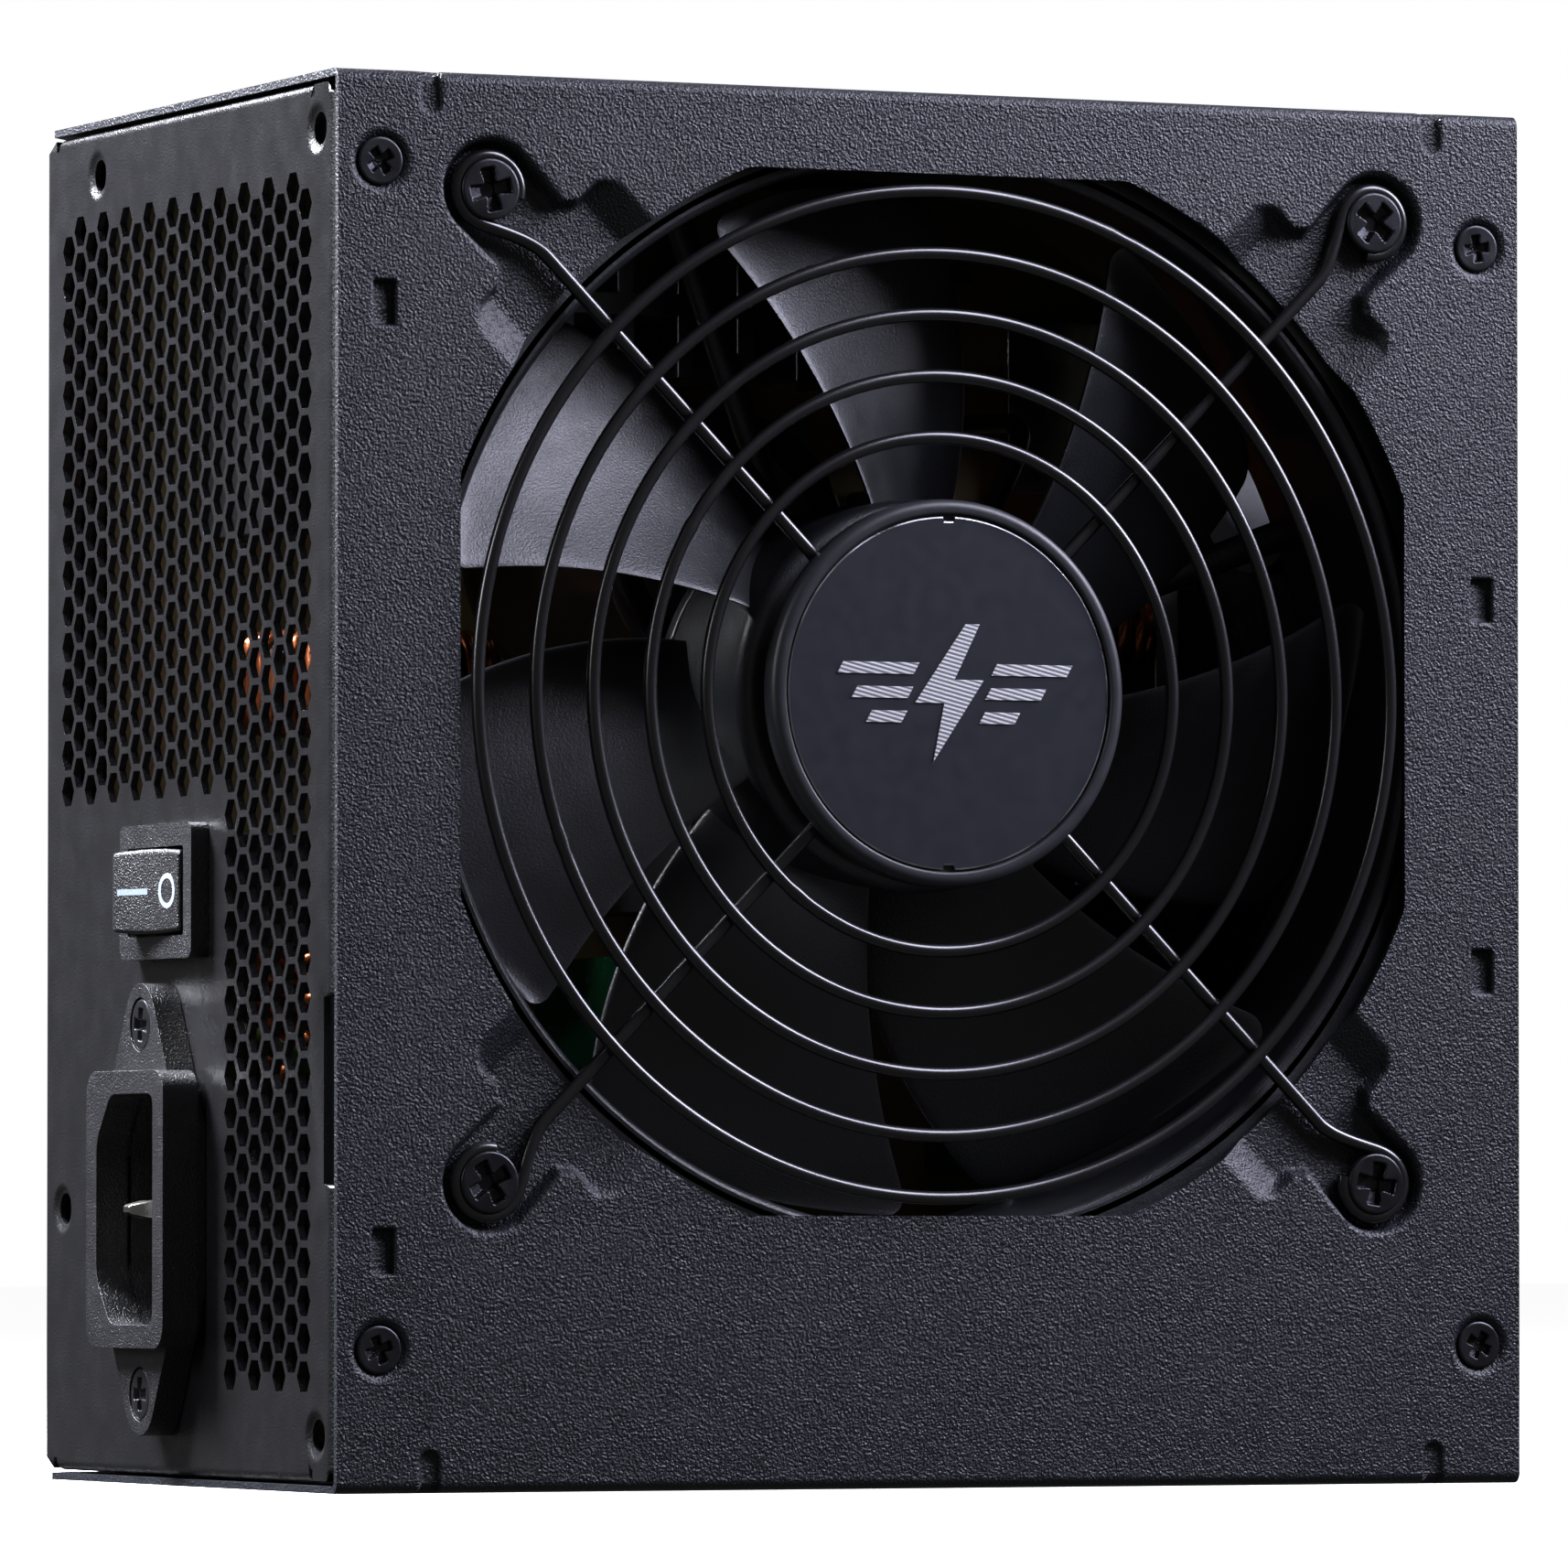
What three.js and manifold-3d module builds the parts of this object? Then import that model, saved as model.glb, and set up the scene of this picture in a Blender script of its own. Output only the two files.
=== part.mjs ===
// ATX computer power supply unit, standing on one narrow side.
// Millimetres, +Z up. X runs from the mains panel (-X) to the cable end (+X), Y from the fan side (-Y)
// to the base sheet (+Y). The origin is the middle of the side that the unit stands on.
import * as THREE from "three";
import { mergeVertices } from "three/addons/utils/BufferGeometryUtils.js";
import Module from "manifold-3d";

const wasm = await Module();
wasm.setup();

// ---------------------------------------------------------------- driving dimensions

const caseDepth = 140; // along X
const caseThick = 86; // along Y
const caseHeight = 150; // along Z
const sheet = 0.8; // steel sheet
const lap = 0.3; // gap between the two shells
const seat = 0.05; // gap where one flat face rests on another
const bendRadius = 1.6; // outside of a fold

const rearX = -caseDepth / 2; // outer face of the mains panel
const frontX = caseDepth / 2;
const fanY = -caseThick / 2; // outer face of the fan side
const baseY = caseThick / 2;
const trayLowZ = sheet + lap;
const trayHighZ = caseHeight - sheet - lap;
const flangeY = fanY + sheet + lap; // outer face of the tray's folded lips
const flangeWidth = 10.5;

const fanZ = caseHeight - 64.8; // height of the fan's axis
const fanSize = 120;
const fanScrewPitch = 105;
const fanDepth = 25;
const openingHalf = 56; // half width of the fan opening
const openingRadius = 60.3; // rounds the fan opening's corners

const wire = 1.4; // guard wire diameter
const ringRadii = [27.6, 34.2, 40.8, 47.4, 54.1];
const hiddenRingRadius = 16.5;
const eyeRadius = 3.6; // centre line of the eye round each fan screw

const bladeCount = 7;
const hubRadius = 21.3;
const bladeTip = 56;
const ductRadius = 57.5;

const inletY = baseY - 37.8; // middle of the mains inlet
const inletZ = 29.9;
const inletScrewPitch = 40;
const switchY = baseY - 39.2; // middle of the mains switch
const switchZ = 64.3;

const boardY = baseY - 8.1; // component side of the main board
const boardThick = 1.6;

// ---------------------------------------------------------------- materials

function paint(color, roughness, metalness) {
  return new THREE.MeshStandardMaterial({ color, roughness, metalness });
}

const looks = {
  case: paint(0x2b2c30, 0.55, 0.3),
  wire: paint(0x1b1c1f, 0.3, 0.4),
  plastic: paint(0x17181a, 0.5, 0),
  switch: paint(0x232427, 0.6, 0),
  badge: paint(0x1a1c22, 0.35, 0.2),
  screw: paint(0x303033, 0.35, 0.8),
  tin: paint(0xc9c8c2, 0.3, 1),
  board: paint(0x8d7f52, 0.6, 0),
  copper: paint(0xb2622d, 0.35, 0.8),
  aluminium: paint(0x9fa2a6, 0.4, 0.9),
  black: paint(0x131315, 0.5, 0),
  yellow: paint(0xc9a634, 0.5, 0),
  green: paint(0x1c5a3c, 0.5, 0),
  rubber: paint(0x121214, 0.8, 0),
  steel: paint(0xa9abad, 0.3, 1),
  ferrite: paint(0x3c3c3f, 0.7, 0),
  insulator: paint(0x1e1e20, 0.6, 0),
};

// ---------------------------------------------------------------- solids

// A closed surface as a solid, with its faces turned outwards.
function solid(geometry) {
  const bare = geometry.clone();
  bare.deleteAttribute("normal");
  bare.deleteAttribute("uv");
  const merged = mergeVertices(bare, 1e-4);
  const vertProperties = merged.attributes.position.array;
  const triVerts = new Uint32Array(merged.index.array);
  const made = new wasm.Manifold(new wasm.Mesh({ numProp: 3, vertProperties, triVerts }));
  if (made.volume() > 0) return made;
  for (let i = 0; i < triVerts.length; i += 3) {
    [triVerts[i + 1], triVerts[i + 2]] = [triVerts[i + 2], triVerts[i + 1]];
  }
  return new wasm.Manifold(new wasm.Mesh({ numProp: 3, vertProperties, triVerts }));
}

const join = (...pieces) => pieces.flat().reduce((a, b) => a.add(b));
const cut = (from, ...tools) => tools.flat().reduce((a, b) => a.subtract(b), from);

function block([x0, x1], [y0, y1], [z0, z1]) {
  const geometry = new THREE.BoxGeometry(x1 - x0, y1 - y0, z1 - z0);
  return solid(geometry.translate((x0 + x1) / 2, (y0 + y1) / 2, (z0 + z1) / 2));
}

// How a shape drawn in two axes stands before it is pushed along the third.
const bases = {
  x: new THREE.Matrix4().makeBasis(vector(0, 1, 0), vector(0, 0, 1), vector(1, 0, 0)), // drawn in Y, Z
  y: new THREE.Matrix4().makeBasis(vector(0, 0, 1), vector(1, 0, 0), vector(0, 1, 0)), // drawn in Z, X
  z: new THREE.Matrix4(), // drawn in X, Y
};

function vector(x, y, z) {
  return new THREE.Vector3(x, y, z);
}

function pushed(axis, shape, low, high, curveSegments = 6) {
  const settings = { depth: high - low, bevelEnabled: false, curveSegments };
  const geometry = new THREE.ExtrudeGeometry(shape, settings);
  return solid(geometry.translate(0, 0, low).applyMatrix4(bases[axis]));
}

// A profile of [radius, distance along the axis] points turned about an axis through a point.
function turned(axis, centre, profile, segments = 24) {
  const points = profile.map(([r, a]) => new THREE.Vector2(r, a));
  const geometry = new THREE.LatheGeometry([...points, points[0]], segments);
  const turn = { x: [0, 0, -Math.PI / 2], y: [0, 0, 0], z: [Math.PI / 2, 0, 0] }[axis];
  geometry.applyMatrix4(new THREE.Matrix4().makeRotationFromEuler(new THREE.Euler(...turn)));
  return solid(geometry.translate(...centre));
}

function rod(axis, centre, radius, low, high, segments = 16) {
  const profile = [[0, low], [radius, low], [radius, high], [0, high]];
  return turned(axis, centre, profile, segments);
}

function tube(axis, centre, inner, outer, low, high, segments = 24) {
  return turned(axis, centre, [[inner, low], [outer, low], [outer, high], [inner, high]], segments);
}

function rectangle(width, height, radius = 0, middleX = 0, middleY = 0) {
  const [w, h] = [width / 2, height / 2];
  const shape = new THREE.Shape();
  if (!radius) {
    shape.moveTo(middleX - w, middleY - h).lineTo(middleX + w, middleY - h);
    return shape.lineTo(middleX + w, middleY + h).lineTo(middleX - w, middleY + h).closePath();
  }
  const quarter = Math.PI / 2;
  const corner = (x, y, from) => shape.absarc(middleX + x, middleY + y, radius, from, from + quarter, false);
  corner(w - radius, radius - h, -Math.PI / 2);
  corner(w - radius, h - radius, 0);
  corner(radius - w, h - radius, Math.PI / 2);
  corner(radius - w, radius - h, Math.PI);
  return shape.closePath();
}

function polygon(points) {
  return new THREE.Shape(points.map(([x, y]) => new THREE.Vector2(x, y)));
}

// A round bar of even width that follows a smooth curve through points.
function cable(points, diameter, steps, sides = 8) {
  const section = new THREE.Shape();
  for (let i = 0; i < sides; i++) {
    const angle = (2 * Math.PI * i) / sides;
    const [x, y] = [(diameter / 2) * Math.cos(angle), (diameter / 2) * Math.sin(angle)];
    if (i) section.lineTo(x, y);
    else section.moveTo(x, y);
  }
  const route = new THREE.CatmullRomCurve3(points.map((p) => vector(...p)), false, "centripetal");
  const settings = { steps, extrudePath: route, bevelEnabled: false };
  return solid(new THREE.ExtrudeGeometry(section.closePath(), settings));
}

const unit = new THREE.Group();

function piece(name, made, look) {
  const { numProp, numVert, vertProperties, triVerts } = made.getMesh();
  const corners = new Float32Array(numVert * 3);
  for (let i = 0; i < numVert; i++) corners.set(vertProperties.subarray(i * numProp, i * numProp + 3), i * 3);
  const geometry = new THREE.BufferGeometry();
  geometry.setAttribute("position", new THREE.BufferAttribute(corners, 3));
  geometry.setIndex(new THREE.BufferAttribute(triVerts, 1));
  geometry.computeVertexNormals();
  const mesh = new THREE.Mesh(geometry, looks[look]);
  mesh.name = name;
  unit.add(mesh);
}

// ---------------------------------------------------------------- places that several pieces share

const cornerSigns = [[-1, 1], [1, 1], [1, -1], [-1, -1]]; // in X and Z
const fanScrews = cornerSigns.map(([sx, sz]) => [(sx * fanScrewPitch) / 2, fanZ + (sz * fanScrewPitch) / 2]);
const coverScrewX = frontX - 4.9;
const coverScrews = [ // X, Z
  [-coverScrewX, caseHeight - 9.7],
  [coverScrewX, caseHeight - 14.7],
  [coverScrewX, 15.1],
  [-coverScrewX, 15.1],
];
const coverScrew = { head: 2.6, shank: 1.35, length: 5, hole: 1.75, dish: 2.95 };
const boardScrewHole = 1.6;
const boardScrews = [ // X, Z
  [rearX + 10, 10],
  [rearX + 10, caseHeight - 32],
  [frontX - 12, 10],
  [frontX - 12, caseHeight - 10],
];

// ---------------------------------------------------------------- tray: mains panel, base and cable end

const recessDepth = wire + 0.6; // sinks the eyes of the guard below the cover's face
const outlet = { y: baseY - 29, z: caseHeight - 32, hole: 13.5 };
const inletBody = { y: 19.6, z: 28, radius: 3 };
const switchBody = { y: 18.6, z: 12.4 };
const bodyGap = 0.3; // between a body and its hole in the panel
const vent = { pitch: 10, flats: 8.3, topZ: caseHeight - 15.8, endY: baseY - 8.5, lowZ: 11, splitZ: 76 };
vent.stripY = fanY + 30; // nearer the fan side than this, the field runs down beside the inlet
const caseScrewHole = 1.7; // radius of the holes that the computer's case screws go into
// Each as [distance from the fan side, height].
const caseScrews = [[6, caseHeight - 6], [70, caseHeight - 6], [6, 6], [80, 30]];
const edgeNotch = { low: 33.5, high: 53, deep: 2.4 };
const cornerRelief = { across: 1.2, deep: 3 };

// The section of a sheet folded at each middle point of a path, which is given along its outer face.
function foldedSheet(path, thickness, radius) {
  const points = path.map(([x, y]) => new THREE.Vector2(x, y));
  const directions = points.slice(1).map((p, i) => p.clone().sub(points[i]).normalize());
  const foldSide = Math.sign(directions[0].cross(directions[1]));
  const inward = directions.map((d) => new THREE.Vector2(-d.y, d.x).multiplyScalar(foldSide));
  const end = (point, side, depth) => points[point].clone().addScaledVector(inward[side], depth);
  const last = points.length - 1;
  const shape = new THREE.Shape();
  shape.moveTo(...end(0, 0, thickness)).lineTo(...points[0]);
  const fold = (i, depth, back) => {
    const sides = [inward[i - 1], inward[i]];
    const centre = points[i].clone().addScaledVector(sides[0], radius).addScaledVector(sides[1], radius);
    const [from, to] = (back ? sides.reverse() : sides).map((n) => Math.atan2(-n.y, -n.x));
    const clockwise = foldSide > 0 === back;
    shape.absarc(centre.x, centre.y, radius - depth, from, to, clockwise);
  };
  for (let i = 1; i < last; i++) fold(i, 0, false);
  shape.lineTo(...points[last]).lineTo(...end(last, last - 1, thickness));
  for (let i = last - 1; i > 0; i--) fold(i, thickness, true);
  return shape.closePath();
}

// Six-sided holes on a honeycomb: the whole upper field, and a strip beside the inlet below it.
function ventTools() {
  const column = (vent.pitch * Math.sqrt(3)) / 2;
  const tools = [];
  for (let c = 0; vent.endY - c * column > flangeY + 6; c++) {
    const y = vent.endY - c * column;
    const lowest = y < vent.stripY ? vent.lowZ : vent.splitZ;
    for (let z = vent.topZ + (c % 2 ? vent.pitch / 2 : 0) - vent.pitch / 2; z > lowest; z -= vent.pitch) {
      const hexagon = [0, 1, 2, 3, 4, 5].map((i) => {
        const angle = (i * Math.PI) / 3;
        const reach = vent.flats / Math.sqrt(3);
        return [y + reach * Math.cos(angle), z + reach * Math.sin(angle)];
      });
      tools.push(pushed("x", polygon(hexagon), rearX - 1, rearX + sheet + 1));
    }
  }
  return wasm.Manifold.compose(tools);
}

// Cutters for a countersunk hole: one for the cover and one for the tray's lip behind it.
function screwHole([x, z]) {
  const taper = (coverScrew.dish - coverScrew.hole) / (2 * sheet);
  const bottom = coverScrew.dish - taper * sheet;
  const coverBack = fanY + sheet + 0.01;
  const lipFront = flangeY - 0.1;
  const lipBack = flangeY + sheet + 0.5;
  const inCover = [[0, fanY - 1], [coverScrew.dish + taper, fanY - 1], [bottom, coverBack], [0, coverBack]];
  const inLip = [[0, lipFront], [bottom, lipFront], [coverScrew.hole, lipBack], [0, lipBack]];
  return { cover: turned("y", [x, 0, z], inCover, 12), lip: turned("y", [x, 0, z], inLip, 12) };
}

function tray() {
  const profile = foldedSheet(
    [
      [rearX + flangeWidth, flangeY], [rearX, flangeY], [rearX, baseY],
      [frontX, baseY], [frontX, flangeY], [frontX - flangeWidth, flangeY],
    ],
    sheet,
    bendRadius,
  );
  const [panelBack, panelFront] = [rearX - 1, rearX + sheet + 1];
  const hole = (body, radius, y, z) =>
    pushed("x", rectangle(body.y + 2 * bodyGap, body.z + 2 * bodyGap, radius, y, z), panelBack, panelFront);
  const mounting = caseScrews.map(([y, z]) => [fanY + y, z]);
  const inletScrews = [-1, 1].map((s) => [inletY, inletZ + (s * inletScrewPitch) / 2]);
  const bores = [...mounting, ...inletScrews].map(([y, z]) =>
    rod("x", [0, y, z], caseScrewHole, panelBack, panelFront, 12),
  );
  const notch = block(
    [panelBack, rearX + 5],
    [flangeY - 1, flangeY + edgeNotch.deep],
    [edgeNotch.low, edgeNotch.high],
  );
  const reliefs = [trayLowZ, trayHighZ].map((z) =>
    block(
      [panelBack, rearX + flangeWidth + 1],
      [flangeY - 1, flangeY + cornerRelief.deep],
      [z - cornerRelief.across, z + cornerRelief.across],
    ),
  );
  return cut(
    pushed("z", profile, trayLowZ, trayHighZ, 3),
    ventTools(),
    hole(inletBody, inletBody.radius, inletY, inletZ),
    hole(switchBody, 0, switchY, switchZ),
    bores,
    notch,
    reliefs,
    rod("x", [0, outlet.y, outlet.z], outlet.hole, frontX - sheet - 1, frontX + 1, 24),
    coverScrews.map((s) => screwHole(s).lip),
    boardScrews.map(([x, z]) => rod("y", [x, 0, z], boardScrewHole, baseY - sheet - 1, baseY + 1, 10)),
  );
}
piece("chassis_tray", tray(), "case");

// ---------------------------------------------------------------- cover: fan side and both narrow sides

// The outline of a corner recess, as [towards the fan's axis, across]: a round end about the screw, a neck,
// then a wide mouth that runs past the edge of the opening.
const recess = { end: 5.1, neck: [6.4, 4.6], throat: [8.4, 7], mouth: [8.6, 9.4], reach: 22, arcSteps: 12 };

function recessShape([x, z], grow) {
  const inward = new THREE.Vector2(-x, fanZ - z).normalize();
  const across = new THREE.Vector2(-inward.y, inward.x);
  const round = [];
  for (let i = 0; i <= recess.arcSteps; i++) {
    const angle = Math.PI * (0.3 + (1.4 * i) / recess.arcSteps);
    round.push([(recess.end + grow) * Math.cos(angle), (recess.end + grow) * Math.sin(angle)]);
  }
  const flank = [recess.neck, recess.throat, recess.mouth].map(([d, t]) => [d - grow, t + grow]);
  flank.push([recess.reach, recess.mouth[1] + grow]);
  const other = flank.map(([d, t]) => [d, -t]);
  const outline = [...round, ...other, ...flank.reverse()];
  return polygon(outline.map(([d, t]) => [z + inward.y * d + across.y * t, x + inward.x * d + across.x * t]));
}

function openingShape() {
  const angle = Math.acos(openingHalf / openingRadius);
  const shape = new THREE.Shape();
  for (let q = 0; q < 4; q++) {
    const from = (q * Math.PI) / 2 + angle;
    shape.absarc(fanZ, 0, openingRadius, from, from + Math.PI / 2 - 2 * angle, false);
  }
  return shape.closePath();
}

const edgeSlots = [rearX + 10.4, frontX - 10.6]; // X of the pressed slots at both folds
const lugs = [ // X, Z of the pressed lugs
  [rearX + 5.3, caseHeight - 24.7],
  [rearX + 5.3, 25.4],
  [frontX - 4.4, 96.6],
  [frontX - 4.4, 55.9],
];
const pressed = { width: 2.2, length: 4.3, depth: 0.45 };
const coverFold = 1.2;

function cover() {
  const wallEnd = baseY - 0.6;
  const route = [[wallEnd, 0], [fanY, 0], [fanY, caseHeight], [wallEnd, caseHeight]];
  const profile = foldedSheet(route, sheet, coverFold);
  const shell = pushed("x", profile, rearX, frontX, 3);
  const panBack = fanY + recessDepth + sheet;
  const pans = fanScrews.map((s) => pushed("y", recessShape(s, sheet), fanY + 0.01, panBack));
  const hollows = fanScrews.map((s) => pushed("y", recessShape(s, 0), fanY - 1, fanY + recessDepth));
  const [halfWidth, halfLength] = [pressed.width / 2, pressed.length / 2];
  const slots = edgeSlots.flatMap((x) => [halfLength, caseHeight - halfLength].map((z) => [x, z]));
  const dents = [...slots, ...lugs].map(([x, z]) =>
    block([x - halfWidth, x + halfWidth], [fanY - 1, fanY + pressed.depth], [z - halfLength, z + halfLength]),
  );
  return cut(
    join(shell, pans),
    hollows,
    pushed("y", openingShape(), fanY - 2, fanY + recessDepth + sheet + 1, 6),
    fanScrews.map(([x, z]) => rod("y", [x, 0, z], 2.4, fanY, fanY + 5, 12)),
    coverScrews.map((s) => screwHole(s).cover),
    dents,
  );
}
piece("fan_side_cover", cover(), "case");

coverScrews.forEach(([x, z], i) => {
  const top = fanY + 0.1;
  const profile = [
    [0, top + 0.7], [0.8, top + 0.7], [0.8, top], [coverScrew.head, top], [coverScrew.shank, top + 1.3],
    [coverScrew.shank, top + coverScrew.length], [0, top + coverScrew.length],
  ];
  piece(`cover_screw_${i + 1}`, turned("y", [x, 0, z], profile, 12), "screw");
});

// ---------------------------------------------------------------- wire guard with its cap and badge

const ringY = fanY - 0.2;
const spokeY = ringY + wire - 0.1;

// One spoke: straight out from the hidden ring, then round the screw in an open eye.
function spoke([x, z]) {
  const inward = new THREE.Vector2(-x, fanZ - z).normalize();
  const right = new THREE.Vector2(inward.y, -inward.x);
  const at = (d, r) => [x + inward.x * d + right.x * r, spokeY, z + inward.y * d + right.y * r];
  const reach = Math.hypot(x, z - fanZ);
  const inner = reach - hiddenRingRadius;
  const points = [at(inner, 0), at(40, 0), at(20, 0), at(9, 0), at(6.4, 0.5), at(eyeRadius, 2.6)];
  for (let i = 0; i <= 8; i++) {
    const angle = Math.PI * (0.42 + (1.4 * i) / 8);
    points.push(at(eyeRadius * Math.cos(angle), eyeRadius * Math.sin(angle)));
  }
  return cable(points, wire, 26, 5);
}

function ring(radius, segments) {
  const geometry = new THREE.TorusGeometry(radius, wire / 2, 5, segments);
  return solid(geometry.rotateX(Math.PI / 2).translate(0, ringY, fanZ));
}

function guard() {
  const rings = ringRadii.map((r) => ring(r, 36));
  return join(ring(hiddenRingRadius, 20), rings, fanScrews.map(spoke));
}
piece("wire_fan_guard", guard(), "wire");

const cap = { radius: 20.85, back: fanY + 0.25, top: fanY - 2.4, seat: fanY - 1.6, bore: 19.2 };
piece(
  "guard_centre_cap",
  turned(
    "y",
    [0, 0, fanZ],
    [
      [0, cap.seat], [cap.bore, cap.seat], [cap.bore, cap.top], [cap.radius - 0.8, cap.top],
      [cap.radius, cap.top + 0.9], [cap.radius, cap.back], [cap.radius - 1.2, cap.back],
      [cap.radius - 1.2, cap.seat + 0.6], [0, cap.seat + 0.6],
    ],
    32,
  ),
  "plastic",
);
piece(
  "centre_badge_disc",
  rod("y", [0, 0, fanZ], cap.bore - 0.25, fanY - 2.05, cap.seat - seat, 32),
  "badge",
);

fanScrews.forEach(([x, z], i) => {
  const top = fanY;
  const profile = [
    [0, top + 0.9], [1, top + 0.9], [1, top], [3.2, top], [3.2, top + 0.3], [1.7, top + 1],
    [1.7, top + 13], [0, top + 13],
  ];
  piece(`fan_screw_${i + 1}`, turned("y", [x, 0, z], profile, 14), "screw");
});

// ---------------------------------------------------------------- fan

const frameTop = fanY + recessDepth + sheet + seat;
const frameBack = frameTop + fanDepth;
const motorBase = { radius: hubRadius, thick: 2.3 };
const baseTop = frameBack - motorBase.thick;

const frameFlange = 3.75;

function fanFrame() {
  const square = rectangle(fanSize, fanSize, 6, fanZ, 0);
  const flange = (low) => pushed("y", square, low, low + frameFlange, 3);
  const duct = tube("y", [0, 0, fanZ], ductRadius, fanSize / 2 - 0.4, frameTop, frameBack, 36);
  const bore = rod("y", [0, 0, fanZ], ductRadius, frameTop - 1, frameBack + 1, 36);
  const ring = cut(join(flange(frameTop), flange(frameBack - frameFlange), duct), bore);
  const struts = [20, 110, 200, 290].map((degrees) => {
    const inner = motorBase.radius - 5;
    const bar = new THREE.BoxGeometry(ductRadius + 1 - inner, motorBase.thick, 3.4);
    bar.translate((ductRadius + 1 + inner) / 2, 0, 0);
    bar.rotateY((degrees * Math.PI) / 180).translate(0, (baseTop + frameBack) / 2, fanZ);
    return solid(bar);
  });
  const holes = fanScrews.map(([x, z]) => rod("y", [x, 0, z], 2.2, frameTop - 1, frameBack + 1, 12));
  return cut(join(ring, struts, rod("y", [0, 0, fanZ], motorBase.radius, baseTop, frameBack, 32)), holes);
}
piece("fan_frame", fanFrame(), "plastic");

const hub = { top: fanY + 5, bottom: baseTop - 0.6, wall: 1.6 };
const bladeLeadY = fanY + 8;
const bladeTrailY = fanY + 22;
const bladeThick = 1.5;

// One blade: a cambered sheet between a leading and a trailing edge that sweep forward with the radius.
function blade(index) {
  const [rows, columns] = [4, 4];
  const place = (i, j, side) => {
    const radius = hubRadius - 0.9 + ((bladeTip - hubRadius + 0.9) * i) / rows;
    const chord = j / columns;
    const lead = 102.3 + 0.38 * (radius - 20.4);
    const trail = 62 + 0.6 * (radius - 24.9);
    const angle = ((lead + (trail - lead) * chord + (360 / bladeCount) * index) * Math.PI) / 180;
    const camber = 1.6 * Math.sin(Math.PI * chord);
    const y = bladeLeadY + (bladeTrailY - bladeLeadY) * chord + camber + (side * bladeThick) / 2;
    return [radius * Math.cos(angle), y, fanZ + radius * Math.sin(angle)];
  };
  const facets = [];
  const quad = (a, b, c, d) => facets.push(...a, ...b, ...c, ...a, ...c, ...d);
  for (let i = 0; i < rows; i++) {
    for (let j = 0; j < columns; j++) {
      quad(place(i, j, 1), place(i + 1, j, 1), place(i + 1, j + 1, 1), place(i, j + 1, 1));
      quad(place(i, j, -1), place(i, j + 1, -1), place(i + 1, j + 1, -1), place(i + 1, j, -1));
    }
    quad(place(i, 0, -1), place(i + 1, 0, -1), place(i + 1, 0, 1), place(i, 0, 1));
    quad(place(i, columns, 1), place(i + 1, columns, 1), place(i + 1, columns, -1), place(i, columns, -1));
  }
  for (let j = 0; j < columns; j++) {
    quad(place(0, j, 1), place(0, j + 1, 1), place(0, j + 1, -1), place(0, j, -1));
    quad(place(rows, j, -1), place(rows, j + 1, -1), place(rows, j + 1, 1), place(rows, j, 1));
  }
  const geometry = new THREE.BufferGeometry();
  geometry.setAttribute("position", new THREE.Float32BufferAttribute(facets, 3));
  return solid(geometry);
}

function rotor() {
  const inner = hubRadius - hub.wall;
  const profile = [
    [0, hub.top], [hubRadius - 1.5, hub.top], [hubRadius, hub.top + 1.5], [hubRadius, hub.bottom],
    [inner, hub.bottom], [inner, hub.top + 2], [0, hub.top + 2],
  ];
  const blades = Array.from({ length: bladeCount }, (_, i) => blade(i));
  return join(turned("y", [0, 0, fanZ], profile, 32), blades);
}
piece("fan_rotor", rotor(), "plastic");

const magnetOuter = hubRadius - hub.wall - 0.1;
const rotorInside = hub.top + 2;
piece(
  "rotor_magnet_ring",
  tube("y", [0, 0, fanZ], magnetOuter - 1.5, magnetOuter, rotorInside + 1, hub.bottom - 1, 32),
  "ferrite",
);
piece("fan_shaft", rod("y", [0, 0, fanZ], 1.5, rotorInside + seat, baseTop - 0.3, 16), "steel");
piece("fan_bearing_sleeve", tube("y", [0, 0, fanZ], 1.56, 4, rotorInside + 1.5, baseTop - seat, 24), "steel");
piece(
  "fan_stator",
  tube("y", [0, 0, fanZ], 4.3, magnetOuter - 2.2, rotorInside + 2, baseTop - 1.5, 24),
  "copper",
);

// ---------------------------------------------------------------- mains inlet and switch

const inletFlange = { thick: 3.3, end: 4.5, width: 22.7, height: 30 };
const shroudX = rearX - 5.1;
const cavity = { y: 16.6, z: 25, depth: 17, chamferY: 4.1, chamferZ: 5.1 };
const pin = { y: 4, z: 2, earthTip: 1.1, lineTip: 3, lineY: -2, earthY: 2.2, lineZ: 7 };

const pinGap = 0.3; // all round a pin in its slot, taken together
const pinEnd = shroudX + cavity.depth + 8;

function cavityShape() {
  const [w, h, cy, cz] = [cavity.y / 2, cavity.z / 2, cavity.chamferY, cavity.chamferZ];
  const outline = [[-w, -h], [w - cy, -h], [w, cz - h], [w, h - cz], [w - cy, h], [-w, h]];
  return polygon(outline.map(([y, z]) => [inletY + y, inletZ + z]));
}

// Name, Y and Z from the inlet's middle, and how far the tip stands back, so that earth connects first.
const pins = [
  ["earth", pin.earthY, 0, pin.earthTip],
  ["line", pin.lineY, pin.lineZ, pin.lineTip],
  ["neutral", pin.lineY, -pin.lineZ, pin.lineTip],
];

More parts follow.
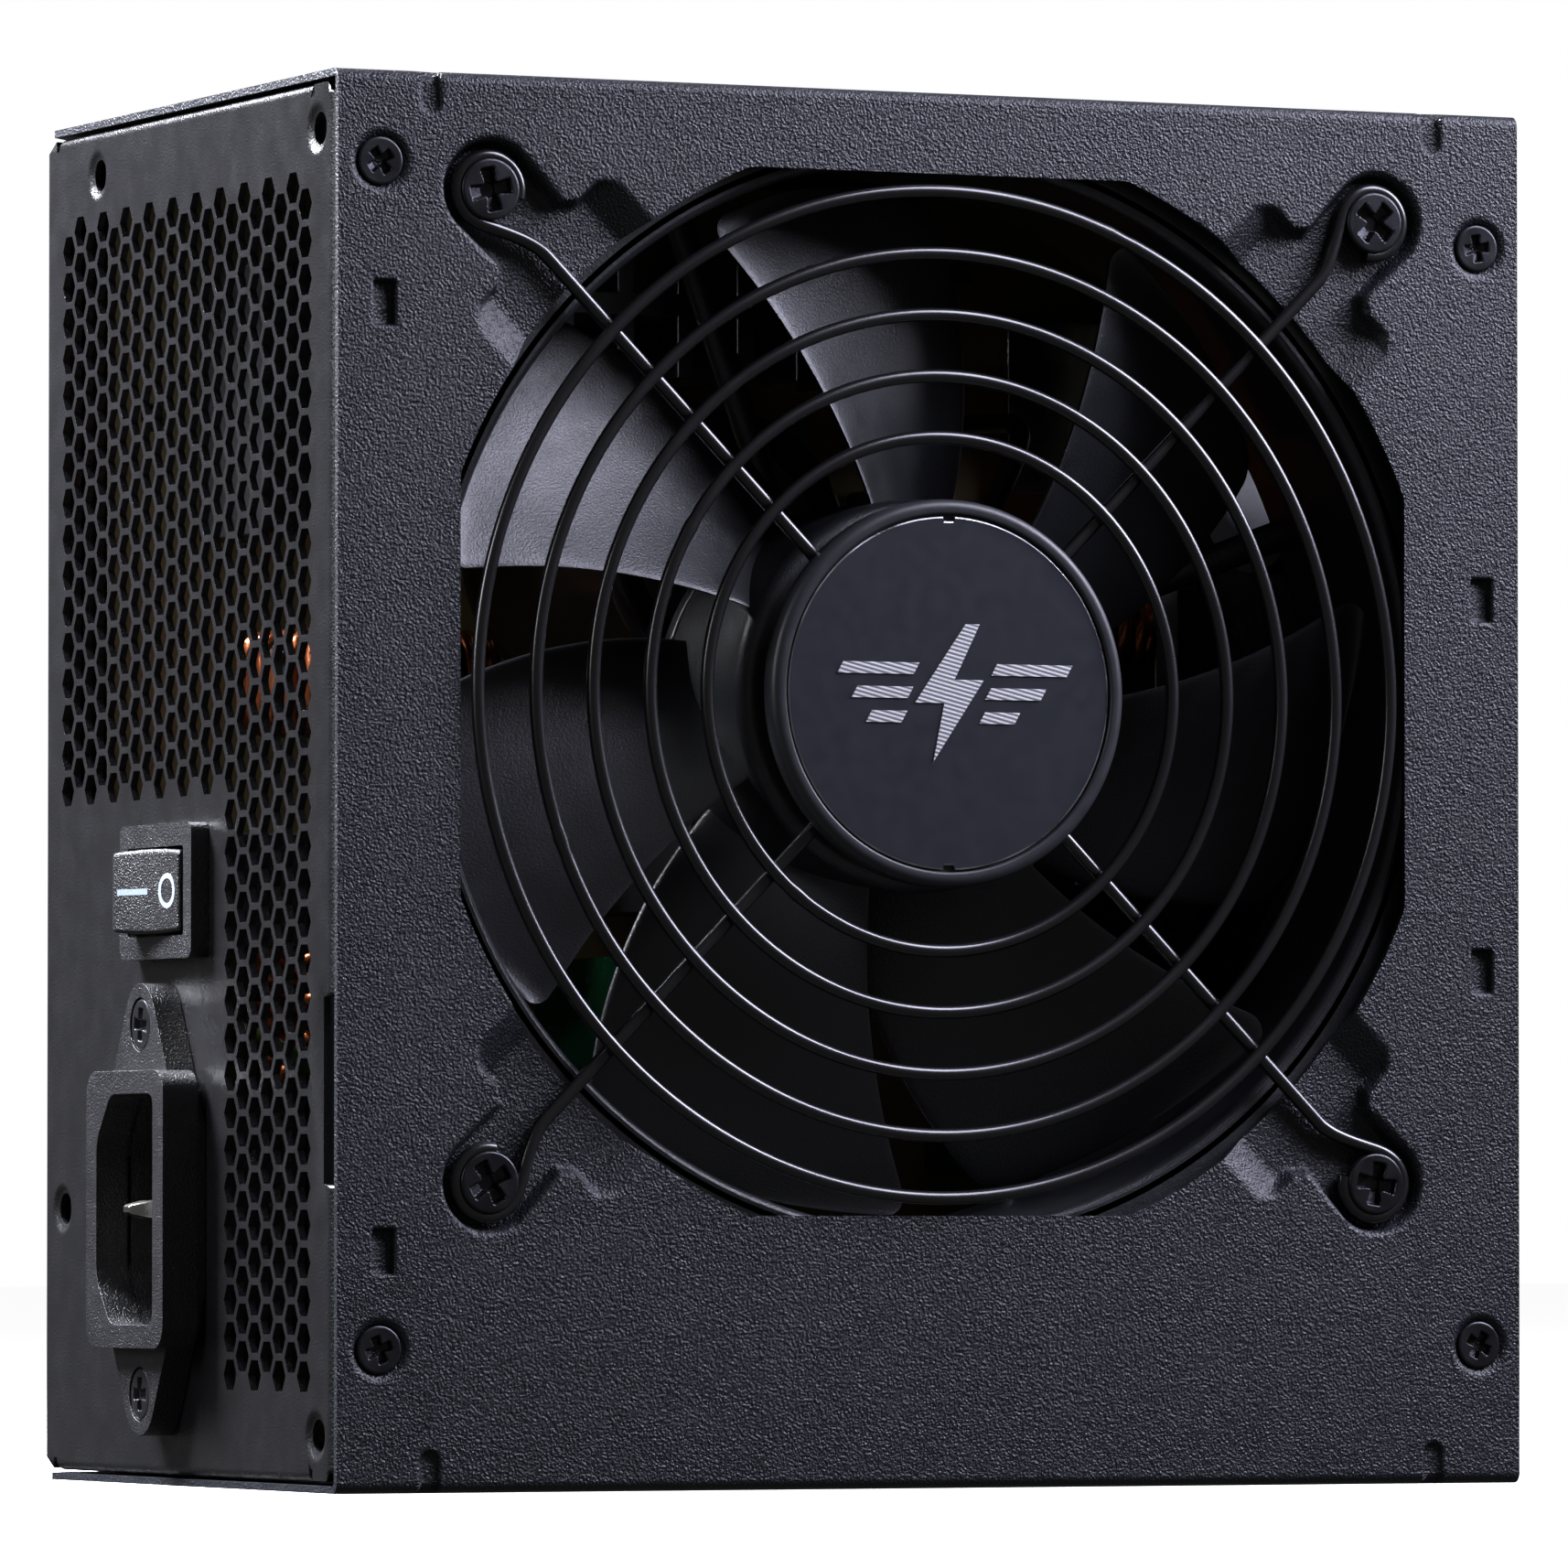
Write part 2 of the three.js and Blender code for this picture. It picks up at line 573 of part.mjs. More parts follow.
function inletHousing() {
  const ends = [];
  [1, -1].forEach((s) => {
    for (let i = 0; i <= 6; i++) {
      const angle = (s > 0 ? 0 : Math.PI) + (Math.PI * (0.12 + (0.76 * i) / 6));
      const z = (s * inletScrewPitch) / 2 + inletFlange.end * Math.sin(angle);
      ends.push([inletFlange.end * Math.cos(angle), z]);
    }
    ends.push([(-s * inletFlange.width) / 2, s * 9], [(-s * inletFlange.width) / 2, -s * 9]);
  });
  const flange = polygon(ends.map(([y, z]) => [inletY + y, inletZ + z]));
  const body = rectangle(inletBody.y, inletBody.z, inletBody.radius - bodyGap, inletY, inletZ);
  const shroud = rectangle(inletFlange.width, inletFlange.height, 2.5, inletY, inletZ);
  const back = shroudX + cavity.depth + 3;
  return cut(
    join(
      pushed("x", flange, rearX - inletFlange.thick, rearX - seat),
      pushed("x", shroud, shroudX, rearX - inletFlange.thick + 0.2, 3),
      pushed("x", body, rearX - 1, back, 3),
    ),
    pushed("x", cavityShape(), shroudX - 1, shroudX + cavity.depth),
    pins.map(([, y, z]) =>
      pushed("x", rectangle(pin.y + pinGap, pin.z + pinGap, 0, inletY + y, inletZ + z), shroudX, back + 1),
    ),
    [-1, 1].map((s) => {
      const profile = [
        [0, rearX - 4], [3.2, rearX - 4], [3.2, rearX - 3.1],
        [1.75, rearX - 1.6], [1.75, rearX + 1], [0, rearX + 1],
      ];
      return turned("x", [0, inletY, inletZ + (s * inletScrewPitch) / 2], profile, 14);
    }),
  );
}
piece("mains_inlet_housing", inletHousing(), "plastic");

pins.forEach(([name, y, z, tip]) => {
  const bar = rectangle(pin.y, pin.z, 0, inletY + y, inletZ + z);
  piece(`inlet_pin_${name}`, pushed("x", bar, shroudX + tip, pinEnd), "tin");
});

[1, -1].forEach((s, i) => {
  const profile = [
    [0, rearX - 2.5], [0.9, rearX - 2.5], [0.9, rearX - 3.2], [2.85, rearX - 3.2], [1.4, rearX - 1.75],
    [1.4, rearX + 5], [0, rearX + 5],
  ];
  const place = [0, inletY, inletZ + (s * inletScrewPitch) / 2];
  piece(`inlet_screw_${i + 1}`, turned("x", place, profile, 14), "screw");
});

const bezel = { y: 21, z: 14.6, thick: 2.1 };
const rocker = { half: 7, rise: 4.75, width: 9.2, tilt: 10, pivotX: rearX + 1 };
const rockerWindow = { half: rocker.half + 1.2, width: rocker.width + 0.5, depth: 12 };

const switchBack = rearX + 16.5;
const tab = { thick: 0.8, width: 4.8, length: 7.5 };
const tabEnd = switchBack + tab.length;

function switchHousing() {
  const face = rectangle(bezel.y, bezel.z, 1, switchY, switchZ);
  const body = rectangle(switchBody.y, switchBody.z, 0, switchY, switchZ);
  const hole = rectangle(2 * rockerWindow.half, rockerWindow.width, 0, switchY, switchZ);
  const tabs = [-5, 0, 5].map((y) =>
    block(
      [switchBack - 0.5, tabEnd],
      [switchY + y - tab.thick / 2, switchY + y + tab.thick / 2],
      [switchZ - tab.width / 2, switchZ + tab.width / 2],
    ),
  );
  return cut(
    join(
      pushed("x", face, rearX - bezel.thick, rearX - seat, 2),
      pushed("x", body, rearX - 1, switchBack),
      tabs,
    ),
    pushed("x", hole, rearX - 3, rearX + rockerWindow.depth),
  );
}
piece("switch_housing", switchHousing(), "switch");

// The rocker rests with its +Y end raised. Its section is drawn level, as [along Y, outwards], then tilted.
function switchRocker() {
  const { half, rise, tilt, width } = rocker;
  const section = [
    [-half, rise], [-half / 2, rise - 0.45], [0, rise - 0.6], [half / 2, rise - 0.45], [half, rise],
    [half - 0.5, 1.5], [half - 2.6, -1.6], [1.2, -4.2], [-1.2, -4.2], [2.6 - half, -1.6], [0.5 - half, 1.5],
  ];
  const angle = (tilt * Math.PI) / 180;
  const placed = section.map(([u, v]) => [
    rocker.pivotX - (v * Math.cos(angle) + u * Math.sin(angle)),
    switchY + u * Math.cos(angle) - v * Math.sin(angle),
  ]);
  return pushed("z", polygon(placed), switchZ - width / 2, switchZ + width / 2);
}
piece("switch_rocker", switchRocker(), "switch");

// ---------------------------------------------------------------- cable outlet bush

const bush = { bore: 11, groove: outlet.hole - 0.25, lip: outlet.hole + 3, out: 2.2, inside: 3 };
piece(
  "cable_outlet_bush",
  turned(
    "x",
    [0, outlet.y, outlet.z],
    [
      [bush.bore, frontX - sheet - bush.inside], [bush.lip - 1, frontX - sheet - bush.inside],
      [bush.lip - 1, frontX - sheet - seat],
      [bush.groove, frontX - sheet - seat], [bush.groove, frontX + seat],
      [bush.lip, frontX + seat], [bush.lip - 0.8, frontX + bush.out], [bush.bore + 0.6, frontX + bush.out],
      [bush.bore, frontX + bush.out - 0.6],
    ],
    24,
  ),
  "rubber",
);

// ---------------------------------------------------------------- main board and what stands on it

const boardBack = boardY + boardThick;
const board = { x: [rearX + 5, frontX - 7], z: [4, caseHeight - 4] };
const trayFloor = baseY - sheet;

piece(
  "main_circuit_board",
  cut(
    block(board.x, [boardY, boardBack], board.z),
    boardScrews.map(([x, z]) => rod("y", [x, 0, z], 1.7, boardY - 1, boardBack + 1, 10)),
  ),
  "board",
);
piece(
  "insulating_sheet",
  cut(
    block(
      [board.x[0] - 1, board.x[1] + 1],
      [trayFloor - 1.3, trayFloor - 1],
      [board.z[0] - 1, board.z[1] + 1],
    ),
    boardScrews.map(([x, z]) => rod("y", [x, 0, z], 3.6, trayFloor - 3, trayFloor + 1, 10)),
  ),
  "insulator",
);
boardScrews.forEach(([x, z], i) => {
  const post = tube("y", [x, 0, z], 1.6, 3, boardBack + seat, trayFloor - seat, 12);
  piece(`board_standoff_${i + 1}`, post, "steel");
});

// How far a component of a given height stands up from the board, as a Y range.
const standing = (height, lift = 0) => [boardY - seat - lift - height, boardY - seat - lift];

// A wound ring core standing on its edge, with its axis along X or Z.
function toroid(centreX, centreZ, outer, inner, width, axis) {
  const half = width / 2;
  const profile = [
    [inner, -half], [outer - 1, -half], [outer, 1 - half],
    [outer, half - 1], [outer - 1, half], [inner, half],
  ];
  return turned(axis, [0, 0, 0], profile, 20).translate([centreX, boardY - 1 - outer, centreZ]);
}

function can(x, z, radius, height) {
  const [top, foot] = standing(height);
  const profile = [[0, top], [radius - 0.8, top], [radius, top + 0.8], [radius, foot], [0, foot]];
  return turned("y", [x, 0, z], profile, 20);
}

const fin = { thick: 2, height: 16, reach: 8 };

// A heatsink: a base plate along X with fins along its top edge.
function heatsink([x0, x1], z, height, fins, thick = 2.5) {
  const [top, foot] = standing(height);
  const plate = block([x0, x1], [top, foot], [z - thick / 2, z + thick / 2]);
  const pitch = (x1 - x0 - fin.thick) / (fins - 1);
  const comb = Array.from({ length: fins }, (_, i) => {
    const x = x0 + i * pitch;
    return block([x, x + fin.thick], [top, top + fin.height], [z - fin.reach, z + fin.reach]);
  });
  return join(plate, comb);
}

piece("primary_heatsink", heatsink([-44, 8], 129, 43, 8), "aluminium");
piece("secondary_heatsink", heatsink([20, 58], 74, 40, 6), "aluminium");
piece("bridge_rectifier", block([-56, -50], standing(20, 3), [104, 134]), "black");
piece("power_transistor", block([-30, -14], standing(20, 4), [123.1, 127.6]), "black");
piece("output_rectifier", block([32, 47], standing(20, 4), [68.1, 72.6]), "black");
piece("bulk_capacitor", can(-8, 103, 15, 40), "black");
piece("boost_choke", toroid(-41, 88, 15.5, 7, 13, "z"), "copper");
piece("filter_choke", toroid(-46, 52, 11, 5, 10, "x"), "copper");
piece("output_choke", toroid(44, 96, 13, 6, 12, "z"), "copper");
piece("resonant_choke", toroid(12, 42, 12.5, 5.5, 12, "x"), "copper");
piece("suppression_capacitor", block([-45, -33], standing(18), [15, 39]), "yellow");
piece("mains_fuse", rod("z", [-52, boardY - 5, 0], 3, 8, 28, 12), "steel");
piece("inrush_thermistor", rod("x", [0, boardY - 12, 68], 7.5, -38, -34, 16), "green");

const transformer = {
  x: 4, z: 72, width: 28, depth: 18, height: 32, lift: 2, limb: 5, overhang: 3, gap: 0.3,
};
const [coreTop, coreFoot] = standing(transformer.height, transformer.lift);
const aroundCore = (half, end) => [transformer.x - half + end, transformer.x + half - end];
const coreWindow = transformer.limb + transformer.gap;
piece(
  "transformer_core",
  cut(
    block(
      aroundCore(transformer.width / 2, 0),
      [coreTop, coreFoot],
      [transformer.z - transformer.depth / 2, transformer.z + transformer.depth / 2],
    ),
    block(
      aroundCore(transformer.width / 2, transformer.limb),
      [coreTop + transformer.limb, coreFoot - transformer.limb],
      [transformer.z - transformer.depth, transformer.z + transformer.depth],
    ),
  ),
  "ferrite",
);
piece(
  "transformer_winding",
  block(
    aroundCore(transformer.width / 2, coreWindow),
    [coreTop + coreWindow, coreFoot - coreWindow],
    [-1, 1].map((s) => transformer.z + s * (transformer.depth / 2 + transformer.overhang)),
  ),
  "yellow",
);
piece("standby_transformer", block([-22, -4], standing(19), [12, 28]), "yellow");
piece("control_board", block([-14, -12.4], standing(30), [36, 58]), "green");

const outputCans = [[54, 62], [43, 60], [54, 50], [43, 48]]; // X, Z
outputCans.forEach(([x, z], i) => {
  piece(`output_capacitor_${i + 1}`, can(x, z, 5, 24 - (i % 2) * 4), "black");
});

piece(
  "output_bus_bar",
  join(block([57, 60], standing(14), [86, 132]), block([44, 57.5], standing(2.4), [112, 132])),
  "tin",
);

// ---------------------------------------------------------------- leads

const leadGap = 0.3;
const lead = 2.4;

const lineStart = [pinEnd + leadGap, inletY + pin.lineY, inletZ + pin.lineZ];
const neutralStart = [pinEnd + leadGap, inletY + pin.lineY, inletZ - pin.lineZ];
const earthStart = [pinEnd + leadGap, inletY + pin.earthY, inletZ];
const lineEnd = [tabEnd + leadGap, switchY, switchZ];
const earthEnd = [rearX + sheet + leadGap, inletY + 14, inletZ + 20.5];
const fanStart = [12, frameBack + leadGap, fanZ + 10];
const boardTop = boardY - leadGap;
const straight = ([x, y, z], alongX, alongY) => [x + alongX, y + alongY, z];
const leads = {
  line_lead: [
    lineStart, straight(lineStart, 2, 0), [pinEnd + 5, inletY - 3, inletZ + 12],
    [tabEnd + 6, switchY - 1, switchZ - 8], straight(lineEnd, 2.5, 0), lineEnd,
  ],
  neutral_lead: [
    neutralStart, straight(neutralStart, 2, 0), [pinEnd + 13, inletY + 2, 12],
    [pinEnd + 20, boardY - 15, 10], [pinEnd + 20, boardTop - 2, 10], [pinEnd + 20, boardTop, 10],
  ],
  earth_lead: [
    earthStart, straight(earthStart, 2, 0), [pinEnd + 3, inletY + 3, inletZ + 10],
    [pinEnd - 6, inletY + 5, inletZ + 18], straight(earthEnd, 7, 0), straight(earthEnd, 2, 0), earthEnd,
  ],
  fan_lead: [
    fanStart, straight(fanStart, 0, 2), [22, frameBack + 6, fanZ + 22], [28, frameBack + 11, fanZ + 31],
    [30, frameBack + 25, fanZ + 33], [30, boardTop - 2, fanZ + 33], [30, boardTop, fanZ + 33],
  ],
};
Object.entries(leads).forEach(([name, points]) => piece(name, cable(points, lead, 16, 5), "rubber"));

export default unit;
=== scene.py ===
"""Power supply unit of a desktop computer, standing on one narrow side: what it looks like."""
import math
import bmesh
import bpy
import numpy as np
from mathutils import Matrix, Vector, geometry


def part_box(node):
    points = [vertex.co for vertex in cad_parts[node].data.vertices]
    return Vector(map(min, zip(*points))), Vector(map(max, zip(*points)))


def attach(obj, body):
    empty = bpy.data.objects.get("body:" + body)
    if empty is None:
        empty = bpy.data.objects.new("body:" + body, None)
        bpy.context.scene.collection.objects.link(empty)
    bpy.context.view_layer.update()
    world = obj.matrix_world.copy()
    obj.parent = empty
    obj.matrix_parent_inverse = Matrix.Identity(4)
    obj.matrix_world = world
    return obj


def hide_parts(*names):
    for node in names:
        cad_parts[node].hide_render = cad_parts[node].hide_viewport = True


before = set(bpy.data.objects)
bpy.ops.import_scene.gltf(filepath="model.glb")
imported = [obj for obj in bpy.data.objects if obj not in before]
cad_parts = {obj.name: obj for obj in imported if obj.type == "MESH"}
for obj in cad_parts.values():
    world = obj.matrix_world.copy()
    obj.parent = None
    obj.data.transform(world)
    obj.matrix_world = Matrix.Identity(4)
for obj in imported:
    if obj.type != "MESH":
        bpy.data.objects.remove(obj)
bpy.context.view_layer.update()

# ---------------------------------------------------------------- camera, floor and lamps
# A long lens stands a little under the middle of the unit and looks at the fan side and the mains panel.
# The floor and the air are plain and pale. Four soft lamps stand close by: right, upper right, upper left
# and left.

camera = bpy.data.objects.new("camera", bpy.data.cameras.new("camera"))
bpy.context.scene.collection.objects.link(camera)
camera.data.lens = 280.2
camera.data.sensor_width = 36
camera.data.clip_end = 20
camera.location = (-0.5573, -1.2280, 0.0282)
camera.rotation_euler = (math.radians(92.07), 0, math.radians(-24.45))
bpy.context.scene.camera = camera
bpy.context.scene.view_settings.view_transform = "Standard"


def linear(code, alpha=1.0):
    """Turns an sRGB hex value to linear: c / 12.92 when dark, else ((c + 0.055) / 1.055) ** 2.4."""
    channels = [int(code[i:i + 2], 16) / 255 for i in (1, 3, 5)]
    return (*[c / 12.92 if c < 0.04045 else ((c + 0.055) / 1.055) ** 2.4 for c in channels], alpha)


def node(tree, kind, inputs=(), **settings):
    """Adds a node: each named input takes a value, or a link where it is given an output socket."""
    made = tree.nodes.new("ShaderNode" + kind)
    for name, value in settings.items():
        setattr(made, name, value)
    for name, value in dict(inputs).items():
        if isinstance(value, bpy.types.NodeSocket):
            tree.links.new(value, made.inputs[name])
        else:
            made.inputs[name].default_value = value
    return made


def softbox(name, place, aim, width, height, watts, colour=(0.80, 0.80, 1.0)):
    """A rectangular lamp at a place in metres, turned to face an aim point."""
    lamp = bpy.data.lights.new(name, "AREA")
    lamp.shape = "RECTANGLE"
    lamp.size = width
    lamp.size_y = height
    lamp.energy = watts
    lamp.color = colour
    holder = bpy.data.objects.new(name, lamp)
    holder.location = place
    holder.rotation_euler = (Vector(aim) - Vector(place)).to_track_quat("-Z", "Y").to_euler()
    bpy.context.scene.collection.objects.link(holder)


middle = (0, 0, 0.075)
softbox("lamp_right", (0.42, -0.17, 0.33), middle, 0.26, 0.20, 3.6)
softbox("lamp_upper_right", (0.31, -0.33, 0.56), middle, 0.28, 0.28, 3.5)
softbox("lamp_upper_left", (-0.27, 0.24, 0.44), middle, 0.24, 0.20, 24.0, (0.90, 0.91, 1.0))
softbox("lamp_left", (-0.80, -0.06, 0.34), middle, 0.14, 0.30, 2.2, (0.90, 0.91, 1.0))

world = bpy.data.worlds.new("studio")
bpy.context.scene.world = world
world.use_nodes = True
air = world.node_tree.nodes["Background"]
air.inputs["Color"].default_value = (1, 1, 1, 1)
seen = node(world.node_tree, "LightPath")
AIR_LIGHT = {"To Min": 0.07, "To Max": 1.0}
dimmed = node(world.node_tree, "MapRange", {"Value": seen.outputs["Is Camera Ray"], **AIR_LIGHT})
world.node_tree.links.new(dimmed.outputs["Result"], air.inputs["Strength"])


def finish(name, colour, roughness, metallic=0.0, **more):
    """Starts a material: its shader's own sockets hold what is the same all over the surface."""
    material = bpy.data.materials.new(name)
    material.use_nodes = True
    shader = material.node_tree.nodes["Principled BSDF"]
    values = {"Base Color": linear(colour), "Roughness": roughness, "Metallic": metallic, **more}
    for socket, value in values.items():
        shader.inputs[socket].default_value = value
    return material


# Matt white painted board: it fades into the air behind it.
floor_paint = finish("painted_board", "#f4f4f3", 0.85,
                     **{"Emission Color": (1, 1, 1, 1), "Emission Strength": 0.9})
floor_tree = floor_paint.node_tree
floor_coords = node(floor_tree, "TexCoord")
floor_mottle = node(floor_tree, "TexNoise", {"Vector": floor_coords.outputs["Object"], "Scale": 3.0})
floor_tint = node(floor_tree, "MixRGB", {"Fac": floor_mottle.outputs["Fac"], "Color1": linear("#f1f1f0"),
                                         "Color2": linear("#f6f6f5")})
floor_tree.links.new(floor_tint.outputs["Color"], floor_tree.nodes["Principled BSDF"].inputs["Base Color"])
FLOOR_HALF = 4
floor_mesh = bpy.data.meshes.new("floor")
floor_mesh.from_pydata([(x * FLOOR_HALF, y * FLOOR_HALF, 0) for x, y in [(-1, -1), (1, -1), (1, 1), (-1, 1)]],
                       [], [(0, 1, 2, 3)])
floor_mesh.materials.append(floor_paint)
floor = bpy.data.objects.new("floor", floor_mesh)
bpy.context.scene.collection.objects.link(floor)
floor.visible_diffuse = False
floor.visible_glossy = False

# ---------------------------------------------------------------- fan-side cover
# One sheet of 0.8 mm steel folded into a channel: the fan side and both narrow sides. It is blanked with
# its fan opening, pressed with four sunk corners, dimples, slots and lugs, folded, then powder coated.

MM = 0.001
SHEET = 0.8
COVER_FOLD = 1.2


def box_of(name):
    """The lowest and highest corners of a node's box, in millimetres."""
    return [np.array(corner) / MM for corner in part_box(name)]


def middle_of(name):
    """The middle of a node's box, in millimetres."""
    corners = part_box(name)
    return (np.array(corners[0]) + np.array(corners[1])) / 2 / MM


low, high = box_of("fan_side_cover")
REAR_X, FAN_Y, WALL_END = low[0], low[1], high[1]
FRONT_X, TOP_Z = high[0], high[2]
BASE_Y = box_of("chassis_tray")[1][1]
rotor_low, rotor_high = box_of("fan_rotor")
FAN_Z = (rotor_low[2] + rotor_high[2]) / 2
SIGNS = [(-1, 1), (1, 1), (1, -1), (-1, -1)]
FAN_SCREW_PITCH = 105
fan_screws = [(sx * FAN_SCREW_PITCH / 2, FAN_Z + sz * FAN_SCREW_PITCH / 2) for sx, sz in SIGNS]
cover_screws = [middle_of(f"cover_screw_{i}")[[0, 2]] for i in (1, 2, 3, 4)]


def smooth(t):
    """Eases from 0 to 1 as t goes from 0 to 1: 3 t^2 - 2 t^3."""
    t = np.clip(t, 0, 1)
    return t * t * (3 - 2 * t)


def spread(start, stop, step):
    """Evenly spaced values from start to stop, about a step apart."""
    return np.linspace(start, stop, max(2, round(abs(stop - start) / step) + 1))


def stacked(*coordinates):
    """Makes points of coordinates: single numbers and short arrays are spread over the longest one."""
    return np.stack(np.broadcast_arrays(*coordinates), axis=-1)


def patch(centre, half_wide, half_high, step, turn=0.0):
    """A grid of flat points round a centre, turned by an angle: centre + (u cos - v sin, u sin + v cos)."""
    u, v = np.meshgrid(spread(-half_wide, half_wide, step), spread(-half_high, half_high, step))
    u, v = u.ravel(), v.ravel()
    return stacked(centre[0] + u * math.cos(turn) - v * math.sin(turn),
                   centre[1] + u * math.sin(turn) + v * math.cos(turn))


def circle(centre, radius, count):
    """Points round a circle: centre + radius (cos a, sin a)."""
    a = np.linspace(0, 2 * math.pi, count, endpoint=False)
    return stacked(centre[0] + radius * np.cos(a), centre[1] + radius * np.sin(a))


def rings(centre, radii, count):
    """Flat points on rings of several radii, so that a round dimple gets round shading."""
    return np.concatenate([circle(centre, r, count) for r in radii])


def blank(outline, holes, lines, points):
    """Cuts a flat sheet: triangles between an outline, its holes, fold lines and free points."""
    loops = [np.asarray(outline), *[np.asarray(h) for h in holes]]
    starts = np.cumsum([0] + [len(loop) for loop in loops])
    faces = [list(range(a, b)) for a, b in zip(starts[:-1], starts[1:])]
    rows = [np.asarray(line) for line in lines]
    row_starts = starts[-1] + np.cumsum([0] + [len(row) for row in rows])
    edges = [(i, i + 1) for a, b in zip(row_starts[:-1], row_starts[1:]) for i in range(a, b - 1)]
    flat = np.concatenate([*loops, *rows, *points])
    made = geometry.delaunay_2d_cdt([Vector(p) for p in flat], edges, faces, 0, 1e-5)
    kept = np.array([face for face, source in zip(made[2], made[5]) if source == [0]])
    used, kept = np.unique(kept, return_inverse=True)
    return np.array([tuple(v) for v in made[0]])[used], kept.reshape(-1, 3)


def fold(s, path, radius):
    """Lays distances s along a path whose square corners are rounded: straight runs, and quarter arcs
    corner + R (n - d) - R (n cos a - d sin a). Gives each point and the direction inwards there."""
    path = np.array(path, float)
    runs = np.diff(path, axis=0)
    lengths = np.abs(runs).sum(axis=1)
    ways = runs / lengths[:, None]
    arc = radius * math.pi / 2
    place = np.zeros((len(s), 2))
    inward = np.zeros((len(s), 2))
    at = 0.0
    for i, way in enumerate(ways):
        side = ways[i + 1] if i + 1 < len(ways) else -ways[i - 1]
        head = path[i] + way * (radius if i else 0)
        run = lengths[i] - radius * ((i > 0) + (i + 1 < len(ways)))
        here = (s >= at - 1e-6) if i == 0 else (s > at)
        place[here] = head + way * (s[here, None] - at)
        inward[here] = side
        at += run
        if i + 1 < len(ways):
            bent = s > at
            a = np.clip((s[bent, None] - at) / radius, 0, math.pi / 2)
            turned = side * np.cos(a) - way * np.sin(a)
            place[bent] = path[i + 1] + radius * (side - way) - radius * turned
            inward[bent] = turned
            at += arc
    return place, inward


def thicken(points, faces, thickness):
    """Gives a sheet its wall: a second skin along the corner normals, and a rim round every edge."""
    a, b, c = (points[faces[:, i]] for i in range(3))
    slopes = np.repeat(np.cross(b - a, c - a), 3, axis=0)
    normals = np.zeros_like(points)
    np.add.at(normals, faces.ravel(), slopes)
    normals /= np.linalg.norm(normals, axis=1)[:, None]
    edges = np.concatenate([faces[:, [0, 1]], faces[:, [1, 2]], faces[:, [2, 0]]])
    _, first, times = np.unique(np.sort(edges, axis=1), axis=0, return_index=True, return_counts=True)
    rim = edges[first[times == 1]]
    count = len(points)
    walls = np.stack([rim[:, 1], rim[:, 0], rim[:, 0] + count, rim[:, 1] + count], axis=1)
    skins = np.concatenate([faces, faces[:, ::-1] + count])
    return np.concatenate([points, points - normals * thickness]), skins.tolist() + walls.tolist()


def show(mesh, look, body, nodes, bevel, sharp):
    """Puts a mesh in the scene with its material, rounds its edges by a bevel width and lets it ride."""
    mesh.materials.append(look)
    mesh.polygons.foreach_set("use_smooth", np.ones(len(mesh.polygons), bool))
    obj = bpy.data.objects.new(mesh.name, mesh)
    bpy.context.scene.collection.objects.link(obj)
    if bevel:
        edge = obj.modifiers.new("rounded_edges", "BEVEL")
        edge.width = bevel * MM
        edge.segments = 2
        edge.angle_limit = math.radians(sharp)
        obj.modifiers.new("even_shading", "WEIGHTED_NORMAL")
    else:
        mesh.set_sharp_from_angle(angle=math.radians(sharp))
    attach(obj, body)
    if nodes:
        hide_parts(*nodes)


def weld(mesh, near):
    """Merges points that lie as near as this in metres, as poles and seams repeat theirs, and turns every
    face outwards."""
    work = bmesh.new()
    work.from_mesh(mesh)
    bmesh.ops.remove_doubles(work, verts=work.verts, dist=near)
    bmesh.ops.recalc_face_normals(work, faces=work.faces)
    work.to_mesh(mesh)
    work.free()


def piece(name, points, faces, look, slot, body="case", nodes=(), bevel=0.0, sharp=35, merge=False):
    """Makes one mesh piece from points in millimetres and shows it."""
    mesh = bpy.data.meshes.new(name)
    mesh.from_pydata((points * MM).tolist(), [], faces if isinstance(faces, list) else faces.tolist())
    if merge:
        weld(mesh, 2e-6)
    show(mesh, look, body, nodes, bevel, sharp)


RECESS = {"depth": 2.0, "wall": 1.0, "reach": 20}
NECK = {"half": 5.1, "taper": 0.05, "run": 7}
MOUTH = {"floor": 7.6, "edge": 11.4, "start": 8.0}
CHEEK = {"back": 1.4, "from": 9.2, "over": 2.4}
THROAT = {"forward": 1.2, "from": 6.6, "over": 1.8}


def recess_depth(x, z):
    """Depth of the sunk corners. Along the way from a screw to the fan's axis (d) and across it (t) it is
    a round-ended neck of nearly even width, then a wide mouth whose sides are long ramps, of depth
    (edge - |t|) / (edge - floor). The mouth starts further on at its cheeks and sooner at its throat."""
    depth = np.zeros_like(x)
    for sx, sz in fan_screws:
        way = np.array([-sx, FAN_Z - sz]) / math.hypot(sx, FAN_Z - sz)
        d = (x - sx) * way[0] + (z - sz) * way[1]
        t = np.abs(-(x - sx) * way[1] + (z - sz) * way[0])
        neck = np.hypot(np.minimum(d, 0), t) - NECK["half"] + NECK["taper"] * np.clip(d, 0, NECK["run"])
        neck = smooth(0.5 - neck / RECESS["wall"])
        ramp = np.clip((MOUTH["edge"] - t) / (MOUTH["edge"] - MOUTH["floor"]), 0, 1)
        entry = (MOUTH["start"] + CHEEK["back"] * smooth((t - CHEEK["from"]) / CHEEK["over"])
                 - THROAT["forward"] * smooth((THROAT["from"] - t) / THROAT["over"]))
        mouth = ramp * smooth(0.5 + (d - entry) / RECESS["wall"])
        depth += RECESS["depth"] * np.maximum(neck, mouth) * (d < RECESS["reach"])
    return depth


